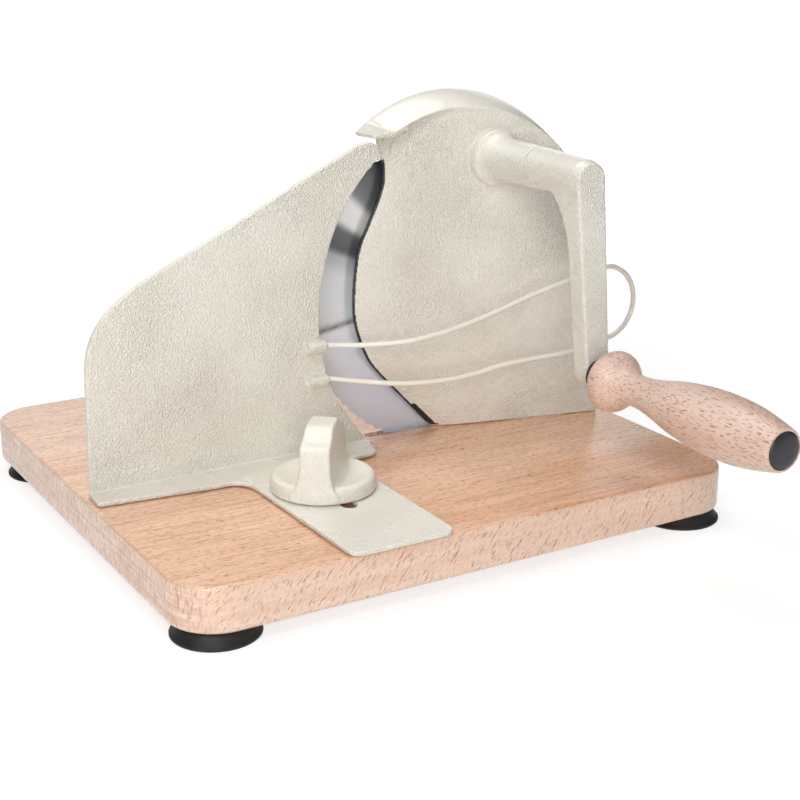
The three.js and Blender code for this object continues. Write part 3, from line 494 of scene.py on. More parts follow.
def beech(name):
    """Oiled beech with its grain along X: pore dashes on top, slanted flecks in front, rings at the ends."""
    shader = Shader(name, Roughness=0.34, Coat_Weight=0.5, Coat_Roughness=0.2)
    facing = shader.node("SeparateXYZ", {0: shader.node("NewGeometry").outputs["Normal"]})
    on_top = shader.spread(shader.maths("ABSOLUTE", facing.outputs[2], 0.0), 0.45, 0.85)
    on_front = shader.spread(shader.maths("ABSOLUTE", facing.outputs[1], 0.0), 0.5, 0.95)
    on_end = shader.spread(shader.maths("ABSOLUTE", facing.outputs[0], 0.0), 0.3, 0.9)
    streak = shader.noise(shader.scaled((4, 75, 75)), 1.0, 5, 0.6, 0.4)
    band = shader.noise(shader.scaled((1.1, 19, 12)), 1.0, 3, 0.5, 0.5)
    line = shader.noise(shader.scaled((26, 520, 520)), 1.0, 2, 0.55, 0.3)
    top = shader.mix(shader.spread(band, 0.38, 0.64), BOARD_TOP, BOARD_TOP_BAND)
    top = shader.mix(shader.spread(streak, 0.4, 0.7, 0, 0.6), top, BOARD_TOP_STREAK)
    top = shader.mix(shader.spread(line, 0.5, 0.66, 0, 0.5), top, BOARD_TOP_LINE)
    side = shader.mix(shader.spread(streak, 0.35, 0.7), BOARD_SIDE, BOARD_SIDE_STREAK)
    base = shader.mix(on_top, side, top)
    pore = shader.noise(shader.scaled((230, 1500, 1500)), 1.0, 1.0, 0.5)
    pores = shader.maths("MULTIPLY", shader.spread(pore, 0.58, 0.67, 0, 0.7), on_top)
    base = shader.mix(pores, base, BOARD_PORE)
    fleck = shader.noise(shader.turned((0, math.radians(52), 0), (190, 500, 1150)), 1.0, 1.0, 0.5)
    flecks = shader.maths("MULTIPLY", shader.spread(fleck, 0.62, 0.69, 0, 0.75), on_front)
    base = shader.mix(flecks, base, BOARD_FLECK)
    dash = shader.noise(shader.turned((0, math.radians(38), 0), (330, 900, 1300)), 1.0, 1.5, 0.5)
    dashes = shader.maths("MULTIPLY", shader.spread(dash, 0.5, 0.64, 0, 0.5), on_front)
    base = shader.mix(dashes, base, BOARD_DASH)
    ring = shader.noise(shader.scaled((40, 9, 260)), 1.0, 2.0, 0.5, 0.5)
    ray = shader.noise(shader.scaled((900, 1000, 210)), 1.0, 1.5, 0.5)
    rings = shader.maths("MULTIPLY", shader.spread(ring, 0.48, 0.6, 0, 0.6), on_end)
    rays = shader.maths("MULTIPLY", shader.spread(ray, 0.52, 0.64, 0, 0.75), on_end)
    base = shader.mix(rings, base, BOARD_RING)
    base = shader.mix(rays, base, BOARD_RAY)
    shader.link(base, "Base Color")
    relief = shader.maths("ADD", shader.maths("ADD", pores, flecks), rays)
    shader.link(shader.bump(relief, -0.00012), "Normal")
    shader.link(shader.spread(streak, 0.3, 0.8, 0.3, 0.44), "Roughness")
    return shader.material


def grip_wood(name):
    """Turned beech with its grain along Y."""
    shader = Shader(name, Roughness=0.4, Coat_Weight=0.15, Coat_Roughness=0.25)
    streak = shader.noise(shader.scaled((55, 4, 55)), 1.0, 5, 0.6, 0.5)
    fleck = shader.noise(shader.scaled((1300, 190, 1300)), 1.0, 1)
    ray = shader.noise(shader.scaled((420, 1500, 420)), 1.0, 1.5)
    base = shader.mix(shader.spread(streak, 0.35, 0.7), GRIP_WOOD, GRIP_STREAK)
    pored = shader.mix(shader.spread(fleck, 0.55, 0.66, 0, 0.8), base, GRIP_FLECK)
    rayed = shader.mix(shader.spread(ray, 0.6, 0.7, 0, 0.4), pored, GRIP_RAY)
    shader.link(rayed, "Base Color")
    shader.link(shader.bump(fleck, -0.0001), "Normal")
    shader.link(shader.spread(streak, 0.3, 0.8, 0.36, 0.5), "Roughness")
    return shader.material


def blade_steel(name):
    """Ground steel: fine rings about the axle, and broad light and dark sectors of painted reflection that
    turn with the blade.
    """
    shader = Shader(name, Metallic=0.5, Roughness=0.3, Anisotropic=0.7)
    middle = shader.node("VectorMath", {
        0: shader.place, 1: place_of(BLADE_AT),
    }, operation="SUBTRACT").outputs[0]
    flat = shader.node("VectorMath", {0: middle, 1: (1, 0, 1)}, operation="MULTIPLY").outputs[0]
    radius = shader.node("VectorMath", {0: flat}, operation="LENGTH").outputs["Value"]
    parts = shader.node("SeparateXYZ", {0: middle})
    sideways = shader.maths("MULTIPLY", parts.outputs[0], -1.0)
    turn = shader.maths("ARCTAN2", parts.outputs[2], sideways)
    ring = shader.node("TexNoise", {"W": radius, "Scale": 3800.0, "Detail": 3.0},
                       noise_dimensions="1D").outputs[0]
    ragged = shader.maths("ADD", turn, shader.spread(ring, 0.3, 0.7, -0.02, 0.02))
    # Painted reflection: light and dark sectors by the angle about the axle
    ramp = shader.node("ValToRGB", {0: shader.spread(ragged, REFLECTION_START, REFLECTION_END)})
    ramp.color_ramp.interpolation = "EASE"
    stops = ramp.color_ramp.elements
    stops[0].color, stops[1].color = colour(*BLADE_REFLECTION_BANDS[0][1]), colour(*BLADE_REFLECTION_BANDS[-1][1])
    for angle, shade in BLADE_REFLECTION_BANDS[1:-1]:
        stops.new((REFLECTION_START - angle) / (REFLECTION_START - REFLECTION_END)).color = colour(*shade)
    ringed = shader.mix(shader.spread(ring, 0.3, 0.7, 0, 0.16), ramp.outputs[0], STEEL_RING)
    shader.link(ringed, "Base Color")
    cloud = shader.noise(shader.place, 30, 3)
    shader.link(shader.spread(cloud, 0.3, 0.7, 0.26, 0.38), "Roughness")
    shader.link(shader.bump(ring, 0.00001, 0.6), "Normal")
    shader.link(shader.node("Tangent", direction_type="RADIAL", axis="Y").outputs[0], "Tangent")
    return shader.material


def bright_metal(name, shade, roughness, grain):
    shader = Shader(name, Metallic=1.0)
    cloud = shader.noise(shader.place, grain, 4, 0.6)
    dark = tuple(0.72 * part for part in shade[:3]) + (1.0,)
    shader.link(shader.mix(shader.spread(cloud, 0.3, 0.75, 0, 0.6), shade, dark), "Base Color")
    shader.link(shader.spread(cloud, 0.3, 0.7, roughness - 0.06, roughness + 0.12), "Roughness")
    shader.link(shader.bump(shader.noise(shader.place, 2500, 2), 0.00002), "Normal")
    return shader.material


def moulded(name, shade, roughness, grain_mm, sheen=0.0):
    """Moulded rubber or plastic with a fine spark grain and slightly uneven tone."""
    shader = Shader(name, Sheen_Weight=sheen)
    cloud = shader.noise(shader.place, 90, 4)
    light = tuple(min(1.0, 1.5 * part + 0.004) for part in shade[:3]) + (1.0,)
    shader.link(shader.mix(shader.spread(cloud, 0.35, 0.75, 0, 0.6), shade, light), "Base Color")
    shader.link(shader.spread(cloud, 0.3, 0.7, roughness - 0.07, roughness + 0.07), "Roughness")
    shader.link(shader.bump(shader.noise(shader.place, 1 / (grain_mm * MM), 3), 0.00006), "Normal")
    return shader.material


casting = enamel("cream_casting", grain_mm=0.9, grain_height_mm=1.0, depth=0.12, roughness=0.27)
knob_casting = enamel("cream_knob", grain_mm=0.8, grain_height_mm=0.45, depth=0.16, roughness=0.55)
wire_coat = enamel("cream_wire", grain_mm=0.7, grain_height_mm=0.08, depth=0.1, roughness=0.32)
board_wood = beech("board_beech")
handle_wood = grip_wood("grip_beech")
ground_steel = blade_steel("blade_steel")
plated = bright_metal("plated_steel", STEEL, roughness=0.3, grain=300)
brass_metal = bright_metal("turned_brass", BRASS, roughness=0.36, grain=260)
rubber = moulded("foot_rubber", RUBBER, roughness=0.6, grain_mm=0.5, sheen=0.05)
cap_plastic = moulded("cap_plastic", CAP_BLACK, roughness=0.42, grain_mm=0.6)
nylon = moulded("gear_nylon", NYLON, roughness=0.5, grain_mm=0.5)


def finish(piece, material, slot, body, *nodes):
    """Gives a piece its material and body, and hides the nodes that it stands in for; the slot is not used.
    """
    piece.data.materials.clear()
    piece.data.materials.append(material)
    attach(piece, body)
    for node in nodes:
        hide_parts(node)
    return piece


# Board and feet
def board_outline():
    x, y = BOARD_LENGTH / 2 - BOARD_CORNER, BOARD_DEPTH / 2 - BOARD_CORNER
    return (arc(x, y, BOARD_CORNER, 0, 90, 24) + arc(-x, y, BOARD_CORNER, 90, 180, 24)
            + arc(-x, -y, BOARD_CORNER, 180, 270, 24) + arc(x, -y, BOARD_CORNER, 270, 360, 24))


def build_board():
    board = prism("board_beech", board_outline(), -BOARD_THICK, 0, "Z")
    bevel(board, BOARD_EDGE, segments=5, angle=60)
    reach = math.sqrt(BLADE_RADIUS ** 2 - BLADE_Z ** 2) + SLOT_END_ROOM
    middle = (BLADE_FRONT + BLADE_BACK) / 2
    slot = bar_outline(BLADE_X - reach, BLADE_X + reach, middle - SLOT_WIDTH / 2, middle + SLOT_WIDTH / 2)
    groove = bar_outline(RIB_X - GROOVE_WIDTH / 2, RIB_X + GROOVE_WIDTH / 2, GROOVE_FRONT, GROOVE_BACK)
    insert = [(INSERT_HOLE_RADIUS, INSERT_HOLE_BOTTOM), (INSERT_HOLE_RADIUS, TOOL_REACH)]
    cut(board, prism("slot", slot, BLADE_Z - BLADE_RADIUS - SLOT_ROOM_BELOW, TOOL_REACH, "Z"),
        prism("groove", groove, GROOVE_BOTTOM, TOOL_REACH, "Z"),
        turned("insert_hole", insert, CLAMP_AT, "Z", 48))
    for x, y, _ in LUGS:
        hole = [(SCREW_HEAD_RADIUS, -5), (SCREW_HEAD_RADIUS, SCREW_HEAD_DEPTH),
                (SCREW_HOLE_RADIUS, SCREW_HEAD_DEPTH), (SCREW_HOLE_RADIUS, 40)]
        cut(board, turned("screw_hole", hole, (x, y, -BOARD_THICK), "Z", 48))
    smooth_shade(board)
    finish(board, board_wood, "beech", "base", "board")


def build_feet():
    bottom, top, r = FOOT_BOTTOM, FOOT_TOP, FOOT_RADIUS
    for side, (x, y) in FEET.items():
        profile = [
            (2.4, top), (r - 4.9, top), (r - 4.2, top - 0.5), (r - 3.3, top - 1.8), (r - 1.9, bottom + 3.2),
            (r - 0.5, bottom + 2), (r, bottom + 1.4), (r, bottom + 0.4), (r - 0.4, bottom), (r - 4.1, bottom),
            (r - 4.5, bottom + 0.4), (r - 7, bottom + 2.2), (5.6, bottom + 2.7), (5.6, top - 4.1),
            (2.4, top - 4.1), (2.4, top),
        ]
        foot = turned("rubber_foot_" + side, profile, (x, y, 0), "Z")
        smooth_shade(foot)
        finish(foot, rubber, "rubber_black", "base", "foot_" + side)


# Housing
def paint_gap_shade(piece):
    """Paints shade on the housing's cut edge beside the blade as dark colour, through a mesh attribute for
    the enamel's material.
    """
    mesh = piece.data
    layer = mesh.attributes.new(GAP_SHADE_ATTRIBUTE, "FLOAT", "POINT")
    home = place_of((0, 0, 0))
    for vertex in mesh.vertices:
        x, z = (vertex.co.x - home[0]) / MM, (vertex.co.z - home[2]) / MM
        near = GAP_SHADE_BOTTOM < z < GAP_SHADE_TOP and abs(x - float(left_edge_x(z))) < GAP_SHADE_ZONE
        layer.data[vertex.index].value = 1.0 if near and vertex.normal.x < GAP_SHADE_TILT else 0.0


LEFT_LINE = smooth_line(LEFT_EDGE, 400)


def left_edge_x(z):
    return np.interp(z, LEFT_LINE[:, 0], LEFT_LINE[:, 1])


def housing_outline():
    """Points with the side's own settings: start, reach, roundness, raised rim and wall."""
    points = []
    for x, z in smooth_line(RIGHT_EDGE, 48):
        points.append((x, z, 0.0, RIGHT_DRAFT, RIGHT_BULGE, 0.0, RIGHT_WALL))
    for i, (x, z) in enumerate(arc(HOOD_X, HOOD_Z, HOOD_RADIUS, HOOD_START, HOOD_END, 120)):
        lip = min(1, max(0, (i / 5 - LIP_START) / LIP_FADE))
        points.append((x, z, 0.0, HOOD_INSET, HOOD_BULGE, lip, SHELL_WALL))
    for z in np.linspace(184, HOUSING_FLOOR + 2, 110):
        points.append((float(left_edge_x(z)), z, 1.0, HOOD_INSET, 1.0, 0.0, LEFT_OPENING))
    for x in np.linspace(58, HOUSING_RIGHT, 42)[1:-1]:
        points.append((x, HOUSING_FLOOR, 1.0, RIGHT_DRAFT, 1.0, 0.0, FLOOR_OPENING))
    return points


def face_depth(x, z):
    """How far the face stands in front of the housing's back, without the rim."""
    start = float(left_edge_x(z))
    along = max(0.0, x - start)
    share = min(1.0, along / (HOUSING_RIGHT - RIGHT_DRAFT - start))
    edge = min(EDGE_DEPTH, EDGE_DEPTH_LOW + max(0.0, z) * EDGE_GAIN)
    return edge + (FACE_NEAR + FACE_GAIN * share - edge) * (1 - math.exp(-along / EDGE_EASE))


def skin_depth(x, z, inset, start, reach, bulge, lip):
    """How far the skin stands in front of the back at a place that lies inset from the outline."""
    face = face_depth(x, z)
    crest = face + lip * (max(LIP_DEPTH, min(face, CREST_LIMIT)) - face)
    part = min(1.0, inset / reach)
    rise = bulge * math.sqrt(1 - (1 - part) ** 2) + (1 - bulge) * part
    if inset <= reach:
        return crest * (start + (1 - start) * rise)
    groove = lip * RIM_GROOVE * min(1.0, max(0.0, (RIM_GROOVE_END - face) / RIM_GROOVE_FADE))
    level = min(face, crest) - groove * max(0.0, 1 - (inset - reach) / RIM_GROOVE_REACH)
    share = min(1.0, (inset - reach) / CREST_EASE)
    return crest + (level - crest) * share * share * (3 - 2 * share)


def housing_skin(name, inner):
    """The housing as one solid, or with inner the space that is taken out of it."""
    points = housing_outline()
    insets = SKIN_INSETS
    deep_rings = 10
    back = 6.0 if inner else 0.0
    rings = len(insets) + deep_rings
    vertices = []
    for x0, z0, start, reach, bulge, lip, wall in points:
        whole = math.hypot(x0 - CENTRE_X, z0 - CENTRE_Z)
        shift = wall if inner else 0.0
        length = whole - shift
        for ring in range(rings):
            near = max(0, ring - 1)
            if near < len(insets):
                inset = insets[near]
            else:
                inset = insets[-1] + (length - insets[-1]) * (near - len(insets) + 1) / deep_rings
            share = (length - inset) / whole
            x = CENTRE_X + (x0 - CENTRE_X) * share
            z = CENTRE_Z + (z0 - CENTRE_Z) * share
            depth = skin_depth(x, z, inset, start, reach, bulge, lip)
            if inner:
                outer = skin_depth(x, z, inset + max(0, shift), start, reach, bulge, lip)
                depth = min(depth, outer) - FACE_WALL
            y = back if ring == 0 else min(-depth, back - 0.2)
            vertices.append((x, y, z))
    middle = len(vertices)
    centre_depth = face_depth(CENTRE_X, CENTRE_Z) - (FACE_WALL if inner else 0)
    vertices.append((CENTRE_X, -centre_depth, CENTRE_Z))
    vertices.append((CENTRE_X, back, CENTRE_Z))
    faces = []
    count = len(points)
    for i in range(count):
        a, b = i * rings, ((i + 1) % count) * rings
        for ring in range(rings - 1):
            faces.append((a + ring, a + ring + 1, b + ring + 1, b + ring))
        faces.append((a + rings - 1, middle, b + rings - 1))
        faces.append((middle + 1, a, b))
    return new_object(name, vertices, faces)


def loft(name, first, second, y0, y1):
    """A solid between two outlines (x, z) with as many points, at two places along Y."""
    count = len(first)
    vertices = [(x, y0, z) for x, z in first] + [(x, y1, z) for x, z in second]
    faces = [tuple(range(count)), tuple(range(count, 2 * count))]
    for i in range(count):
        j = (i + 1) % count
        faces.append((i, j, count + j, count + i))
    return new_object(name, vertices, faces)


def build_housing():
    housing = housing_skin("housing_casting", False)
    hollow = housing_skin("hollow", True)
    inside = join(
        turned("axle_boss", [(AXLE_BOSS_RADIUS, -45), (AXLE_BOSS_RADIUS, AXLE_BOSS_END)],
               BLADE_AT, "Y"),
        turned("shaft_boss", [(SHAFT_BOSS_RADIUS, -45), (SHAFT_BOSS_RADIUS, SHAFT_BOSS_END)],
               CRANK_AT, "Y"),
        *[turned("lug", [(r, 0), (r, LUG_HEIGHT)], (x, y, 0), "Z", 64) for x, y, r in LUGS],
    )
    cut(hollow, inside)
    boss = turned("boss", [
        (BOSS_FLARE - 1, -14), (BOSS_FLARE, -24), (BOSS_FLARE, -27.6), (BOSS_FLARE - 0.5, -28.6),
        (BOSS_FLARE - 1.6, -29.2), (BOSS_RADIUS + 2.1, -30.4), (BOSS_RADIUS + 1.1, -32.6),
        (BOSS_RADIUS + 0.6, -36.5), (BOSS_RADIUS, BOSS_END),
    ], CRANK_AT, "Y")
    visor_back = arc(HOOD_X, HOOD_Z, HOOD_RADIUS, 116, 129.2, 6) + VISOR_BACK_LOW
    visor = loft("visor", visor_back, VISOR_FRONT, 0, VISOR_REACH)
    cut(boss, twin(hollow))
    cut(housing, hollow)
    join(housing, boss, visor)
    axle_bore = AXLE_RADIUS + 0.3
    lug_bore = [(LUG_BORE_RADIUS, -9), (LUG_BORE_RADIUS, LUG_HEIGHT - 2.5)]
    cut(
        housing,
        turned("shaft_bore", [(BORE_RADIUS, -90), (BORE_RADIUS, TOOL_REACH)], CRANK_AT, "Y"),
        turned("axle_bore", [(axle_bore, AXLE_BORE_END), (axle_bore, TOOL_REACH)], BLADE_AT, "Y"),
        *[turned("screw_bore", lug_bore, (x, y, 0), "Z", 48) for x, y, _ in LUGS],
        prism("floor", [(-60, -90), (240, -90), (240, 40), (-60, 40)], -60, 0.3, "Z"),
    )
    cast(housing, voxel=0.6, rounds=3)
    paint_gap_shade(housing)
    finish(housing, casting, "cream_casting", "base", "housing")


# Blade and what holds it
def blade_rings():
    """Rings of the blade: radius, front, back, share of the scallops and how far the tips reach out."""
    return [
        (BLADE_CORE_RADIUS, BLADE_FRONT, BLADE_BACK, 0, 0),
        (BLADE_RADIUS - 12, BLADE_FRONT, BLADE_BACK, 0, 0),
        (BLADE_RADIUS - 5, BLADE_FRONT + 0.25, BLADE_BACK - 0.1, 0.35, 0),
        (BLADE_RADIUS, BLADE_FRONT + 0.55, BLADE_BACK - 0.35, 1, TIP_REACH),
    ]


def build_blade():
    steps = 8
    rings = blade_rings()
    count = BLADE_TEETH * steps
    vertices = []
    for side in (1, 2):
        for ring in rings:
            radius, share, reach = ring[0], ring[3], ring[4]
            for i in range(count):
                turn = 2 * math.pi * i / count
                scallop = TOOTH_DEPTH * abs(math.sin(math.pi * (i % steps) / steps))
                r = radius - (share * scallop - reach)
                vertices.append((BLADE_X + r * math.cos(turn), ring[side], BLADE_Z + r * math.sin(turn)))
    faces = []
    layer = len(rings) * count
    for ring in range(len(rings) - 1):
        for i in range(count):
            j = (i + 1) % count
            a, b = ring * count, (ring + 1) * count
            faces.append((a + i, a + j, b + j, b + i))
            faces.append((layer + a + i, layer + b + i, layer + b + j, layer + a + j))
    last = (len(rings) - 1) * count
    for i in range(count):
        j = (i + 1) % count
        faces.append((last + i, last + j, layer + last + j, layer + last + i))
        faces.append((i, layer + i, layer + j, j))
    blade = new_object("blade_disc", vertices, faces)
    hole, rim = BLADE_HOLE_RADIUS, BLADE_CORE_RADIUS + 0.5
    middle = [
        (hole, BLADE_FRONT), (rim, BLADE_FRONT), (rim, BLADE_BACK), (hole, BLADE_BACK), (hole, BLADE_FRONT),
    ]
    join(blade, turned("blade_middle", middle, BLADE_AT, "Y"))
    smooth_shade(blade, angle=20)
    finish(blade, ground_steel, "blade_steel", "blade", "blade")


# Crank and grip
def build_crank_arm():
    arm = copy_of("crank_arm", "crank_casting")
    cast(arm, voxel=0.45, rounds=4)
    finish(arm, casting, "cream_casting", "crank", "crank_arm")


def build_grip():
    along_radius = [
        (0, 14.4), (0.7, 15.7), (2.2, 16.8), (5, 17.8), (8.6, 17.4), (12.6, 14.9), (17, 11.7), (24.9, 9.3),
        (35.9, 9.7), (47.9, 11.8), (62.9, 15), (80.9, 17.2), (96.9, 17.8), (112.9, 17), (126.9, 14.8),
        (137.5, 12.4), (GRIP_LENGTH - 0.7, 11.7), (GRIP_LENGTH, 11.0),
    ]
    line = smooth_line(along_radius, 150)
    outer = [(r, GRIP_BACK - along) for along, r in line]
    front = GRIP_BACK - GRIP_LENGTH
    pocket = CAP_RADIUS + CAP_ROOM
    profile = [
        (GRIP_BORE_RADIUS, GRIP_BACK), *outer, (pocket, front), (pocket, front + CAP_POCKET),
        (GRIP_BORE_RADIUS, front + CAP_POCKET), (GRIP_BORE_RADIUS, GRIP_BACK),
    ]
    grip = turned("grip_turned", profile, GRIP_AT, "Y", 128)
    smooth_shade(grip)
    finish(grip, handle_wood, "beech", "grip", "grip")
    cap = turned("grip_end_cap", [
        (0.01, front - 1.6), (4.5, front - 1.5), (8, front - 1.0), (9.3, front - 0.4),
        (CAP_RADIUS, front + 0.4), (CAP_RADIUS, front + 3), (CAP_RADIUS - 0.8, front + 6), (0.01, front + 6),
    ], GRIP_AT, "Y")
    smooth_shade(cap)
    finish(cap, cap_plastic, "black_plastic", "grip", "grip_cap")


# Stop plate, guard wire and clamp
def build_stop_plate():
    plate = copy_of("stop_plate", "stop_casting")
    start = FLANGE_TOP + 0.02
    lean = [
        (PLATE_FRONT - CREASE_CUT, start), (PLATE_FRONT + 0.8, start), (PLATE_FRONT + 0.7, 6),
        (PLATE_FRONT + 0.25, 13), (PLATE_FRONT, CREASE_TOP), (PLATE_FRONT - CREASE_CUT, CREASE_TOP),
    ]
    under = [(-190, -180), (30, -180), (30, 0), (-190, 0)]
    recess = bar_outline(RECESS_LEFT, RECESS_RIGHT, RECESS_FRONT, RECESS_BACK)
    rib = bar_outline(RIB_X - RIB_HALF, RIB_X + RIB_HALF, RIB_FRONT, RIB_BACK)
    cut(plate, prism("foot_crease", lean, -200, 10, "X"), prism("shadow_gap", under, -10, FLANGE_BOTTOM, "Z"))
    cut(plate, prism("recess", recess, FLANGE_TOP - RECESS_DEPTH, TOOL_REACH, "Z"))
    join(plate, prism("rib", rib, RIB_BOTTOM, FLANGE_BOTTOM + 1, "Z"))
    cast(plate, voxel=0.55, rounds=2)
    finish(plate, casting, "cream_casting", "plate", "stop_plate")


def wire_route():
    """The bend points of the wire."""
    upper, lower = (-30.45, 68.4), (-29.51, 47.6)
    socket_y = -22.8
    loop = [(x, -56, z) for x, z in arc(154.5, 78.2, 23.2, 82, -84, 10)]
    return [
        (upper[0] - 4.4, socket_y, upper[1]), (upper[0] + 3, socket_y, upper[1]),
        (upper[0] + 8.5, socket_y - 0.2, upper[1]), (-4, -31.6, 68), (12, -40, 69), (25, -45, 70.4),
        (44.5, -48.6, 73.8), (65, -51, 79), (78, -53, 83.2), (92, -54.6, 87.8), (105, -55.5, 91.4),
        (126, -56, 96), (145, -56, 99.4), *loop, (130, -56, 50.6), (104, -55.5, 50), (79.5, -53.6, 48.6),
        (65.5, -52, 46), (52, -50, 44.2), (41, -48.2, 43.6), (29, -45.6, 43.4), (12, -39.6, 44),
        (-4, -31.6, 45.6), (lower[0] + 8.5, socket_y - 0.2, lower[1]), (lower[0] + 3, socket_y, lower[1]),
        (lower[0] - 4.4, socket_y, lower[1]),
    ]


def tube(name, route, radius):
    curve = bpy.data.curves.new(name, "CURVE")
    curve.dimensions = "3D"
    curve.bevel_depth = radius * MM
    curve.bevel_resolution = WIRE_ROUNDNESS
    curve.use_fill_caps = True
    line = curve.splines.new("POLY")
    line.points.add(len(route) - 1)
    for point, place in zip(line.points, route):
        point.co = (*place_of(place), 1)
    holder = bpy.data.objects.new(name + "_curve", curve)
    bpy.context.scene.collection.objects.link(holder)
    bpy.context.view_layer.update()
    mesh = bpy.data.meshes.new_from_object(holder.evaluated_get(bpy.context.evaluated_depsgraph_get()))
    bpy.data.objects.remove(holder)
    piece = bpy.data.objects.new(name, mesh)
    bpy.context.scene.collection.objects.link(piece)
    smooth_shade(piece)
    return piece


def build_wire():
    route = smooth_line(wire_route(), 320)
    wire = tube("guard_wire_bent", route, WIRE_RADIUS)
    finish(wire, wire_coat, "cream_wire", "plate", "guard_wire")


def wing():
    """The knob's wing, from flat slices (height, half length, half thickness) that widen into the disc."""
    slices = [
        (5.5, 28.6, 14.4), (8.6, 28.8, 13.6), (10.4, 28.8, 12.6), (12, 28.6, 11.4), (14.2, 28.2, 10.2),
        (17.5, 27.6, 9.3), (22, 27.0, 8.8), (28, 26.0, 8.5), (33, 25.4, 8.5), (34.6, 24.6, 8.4),
        (35.4, 22.8, 8.3), (36.4, 19.4, 8.2), (38.2, 15.2, 8.0), (40.2, 12.4, 7.9), (41.8, 10.2, 7.6),
        (42.6, 7.6, 6.9),
    ]
    turn = math.radians(FIN_ANGLE)
    corners = 10
    vertices = []
    for height, half, thick in slices:
        outline = []
        for x, y, start in ((1, 1, 0), (-1, 1, 90), (-1, -1, 180), (1, -1, 270)):
            outline += arc(x * (half - WING_CORNER), y * (thick - WING_CORNER), WING_CORNER,
                           start, start + 90, corners)
        for a, b in outline:
            vertices.append((CLAMP_X + a * math.cos(turn) - b * math.sin(turn),
                             CLAMP_Y + a * math.sin(turn) + b * math.cos(turn), height))
    count = 4 * corners
    faces = [tuple(range(count)), tuple(range(count * (len(slices) - 1), count * len(slices)))]
    for level in range(len(slices) - 1):
        for i in range(count):
            j = (i + 1) % count
            a, b = level * count, (level + 1) * count
            faces.append((a + i, a + j, b + j, b + i))
    return new_object("wing", vertices, faces)


def build_knob():
    rim = KNOB_BOTTOM + KNOB_BASE
    knob = turned("knob_casting", [
        (0.01, KNOB_BOTTOM), (KNOB_RADIUS - 0.7, KNOB_BOTTOM), (KNOB_RADIUS, KNOB_BOTTOM + 0.7),
        (KNOB_RADIUS - 0.3, rim - 3.4), (KNOB_RADIUS - 1.2, rim - 1.2), (KNOB_RADIUS - 2.8, rim - 0.1),
        (KNOB_RADIUS - 4.6, rim - 0.2), (KNOB_RADIUS - 8, rim - 1.5), (KNOB_RADIUS - 14, rim - 3),
        (0.01, rim - 3.6),
    ], CLAMP_AT, "Z", 128)
    join(knob, wing())
    cut(
        knob,
        turned("washer_room", [(WASHER_ROOM, -10), (WASHER_ROOM, WASHER_ROOM_TOP)],
               CLAMP_AT, "Z", 64),
        turned("stud_room", [(STUD_ROOM, -10), (STUD_ROOM, STUD_ROOM_TOP)],
               CLAMP_AT, "Z", 64),
    )
    cast(knob, voxel=0.5, rounds=5)
    finish(knob, knob_casting, "cream_plastic", "knob", "clamp_knob")


# Small parts keep their modelled shape
def dress_small_parts():
    groups = [
        (plated, ["foot_screw_front_left", "foot_screw_front_right", "foot_screw_back_left",
                  "foot_screw_back_right", "housing_screw_1", "housing_screw_2", "housing_screw_3",
                  "blade_axle", "blade_washer", "blade_screw", "blade_rivet_1", "blade_rivet_2",
                  "blade_rivet_3", "crank_shaft", "crank_pinion", "pinion_set_screw", "crank_set_screw",
                  "grip_bolt", "clamp_washer", "clamp_stud"]),
        (brass_metal, ["crank_bush", "board_insert"]),
        (cap_plastic, ["grip_washer"]),
        (nylon, ["blade_gear"]),
    ]
    for material, names in groups:
        for name in names:
            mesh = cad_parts[name].data
            mesh.materials.clear()
            mesh.materials.append(material)


# Floor, lights and camera
def build_stage():
    """A pale floor that reads as white where it is lit and keeps the shadow of the object."""
    shader = Shader("floor_pale", Roughness=0.9)
    shader.link(shader.mix(shader.noise(shader.place, 3, 2), FLOOR_PALE, FLOOR_PALE_CLOUD), "Base Color")
    flat = shader.node("VectorMath", {0: shader.place, 1: (1, 1, 0)}, operation="MULTIPLY").outputs[0]
    away = shader.node("VectorMath", {0: flat}, operation="LENGTH").outputs["Value"]
    brightness = shader.spread(away, GLOW_NEAR, GLOW_FAR, FLOOR_GLOW, 1.0, True)
    glow = shader.node("Emission", {"Strength": brightness})
    soft = shader.node("BsdfDiffuse", {"Color": (FLOOR_SHADOW, FLOOR_SHADOW, FLOOR_SHADOW, 1)})
    both = shader.node("AddShader", {0: glow.outputs[0], 1: soft.outputs[0]})
    path = shader.node("LightPath")
    seen = shader.maths("MAXIMUM", path.outputs["Is Camera Ray"], path.outputs["Is Glossy Ray"])
    surface = shader.node("MixShader", {0: seen, 1: shader.surface.outputs[0], 2: both.outputs[0]})
    shader.tree.links.new(surface.outputs[0], shader.tree.nodes["Material Output"].inputs[0])
    low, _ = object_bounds()
    level = low.z / MM - SHIFT[2]
    reach = FLOOR_SIZE
    corners = [(-reach, -reach, level), (reach, -reach, level), (reach, reach, level), (-reach, reach, level)]
    floor = new_object("floor", corners, [(0, 1, 2, 3)])
    floor.data.materials.append(shader.material)


def area_light(name, place, size, power, tint):
    lamp = bpy.data.lights.new(name, "AREA")
    lamp.shape = "RECTANGLE"
    lamp.size, lamp.size_y = size
    lamp.energy = power
    lamp.color = tint
    holder = bpy.data.objects.new(name, lamp)
    bpy.context.scene.collection.objects.link(holder)
    holder.location = place_of(place)
    away = Vector(place) - Vector(LAMP_TARGET)
    holder.rotation_euler = away.to_track_quat("Z", "Y").to_euler()


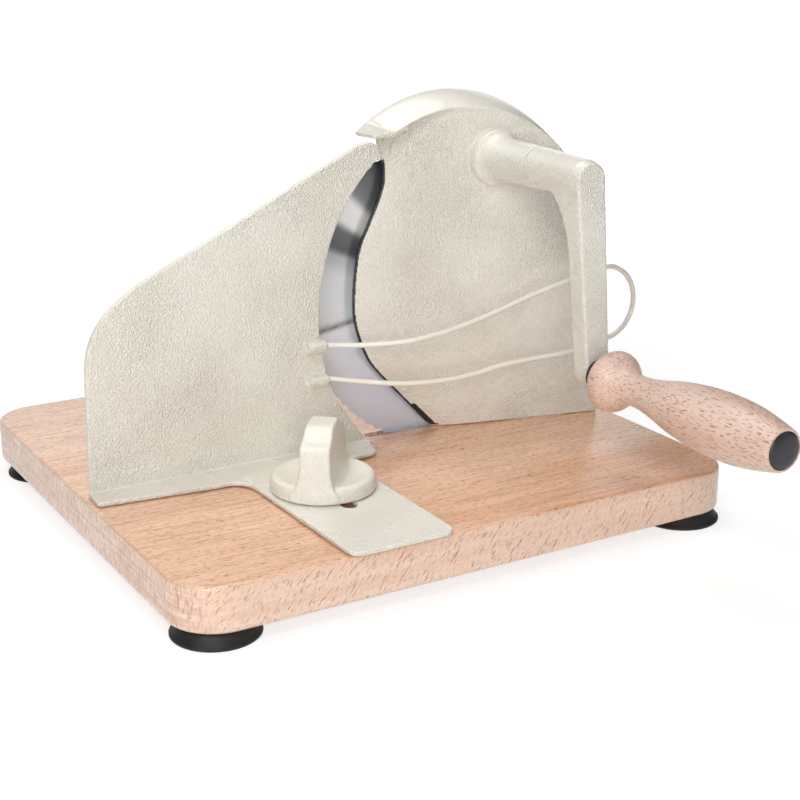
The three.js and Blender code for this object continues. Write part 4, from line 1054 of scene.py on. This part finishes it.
def build_lights():
    """White behind the object, a dimmer room behind the camera, and soft lamps around."""
    world = bpy.data.worlds.new("studio")
    bpy.context.scene.world = world
    world.use_nodes = True
    nodes, links = world.node_tree.nodes, world.node_tree.links
    light = nodes["Background"]
    direction = nodes.new("ShaderNodeSeparateXYZ")
    links.new(nodes.new("ShaderNodeTexCoord").outputs["Generated"], direction.inputs[0])
    fade = nodes.new("ShaderNodeMapRange")
    fade.interpolation_type = "SMOOTHSTEP"
    limits = {"From Min": -0.9, "From Max": 0.4, "To Min": ROOM_FRONT, "To Max": ROOM_BACK}
    for socket, value in limits.items():
        fade.inputs[socket].default_value = value
    links.new(direction.outputs["Y"], fade.inputs["Value"])
    links.new(fade.outputs[0], light.inputs["Strength"])
    seen = nodes.new("ShaderNodeBackground")
    seen.inputs["Strength"].default_value = 1.0
    path = nodes.new("ShaderNodeLightPath")
    mix = nodes.new("ShaderNodeMixShader")
    links.new(path.outputs["Is Camera Ray"], mix.inputs[0])
    links.new(light.outputs[0], mix.inputs[1])
    links.new(seen.outputs[0], mix.inputs[2])
    links.new(mix.outputs[0], nodes["World Output"].inputs[0])
    for lamp in LAMPS:
        area_light(*lamp)


def build_camera():
    azimuth, elevation = math.radians(CAMERA_AZIMUTH), math.radians(CAMERA_ELEVATION)
    back = Vector((math.sin(azimuth) * math.cos(elevation), -math.cos(azimuth) * math.cos(elevation),
                   math.sin(elevation)))
    lens = bpy.data.cameras.new("camera")
    lens.sensor_width = SENSOR_MM
    lens.lens = CAMERA_FOCAL_PIXELS * SENSOR_MM / IMAGE_PIXELS
    lens.clip_start = 0.01
    holder = bpy.data.objects.new("camera", lens)
    bpy.context.scene.collection.objects.link(holder)
    holder.location = place_of(CAMERA_PLACE)
    holder.rotation_euler = back.to_track_quat("Z", "Y").to_euler()
    bpy.context.scene.camera = holder
    bpy.context.scene.view_settings.view_transform = "Standard"


build_camera()
build_lights()
build_board()
build_feet()
build_housing()
build_blade()
build_crank_arm()
build_grip()
build_stop_plate()
build_wire()
build_knob()
dress_small_parts()
build_stage()
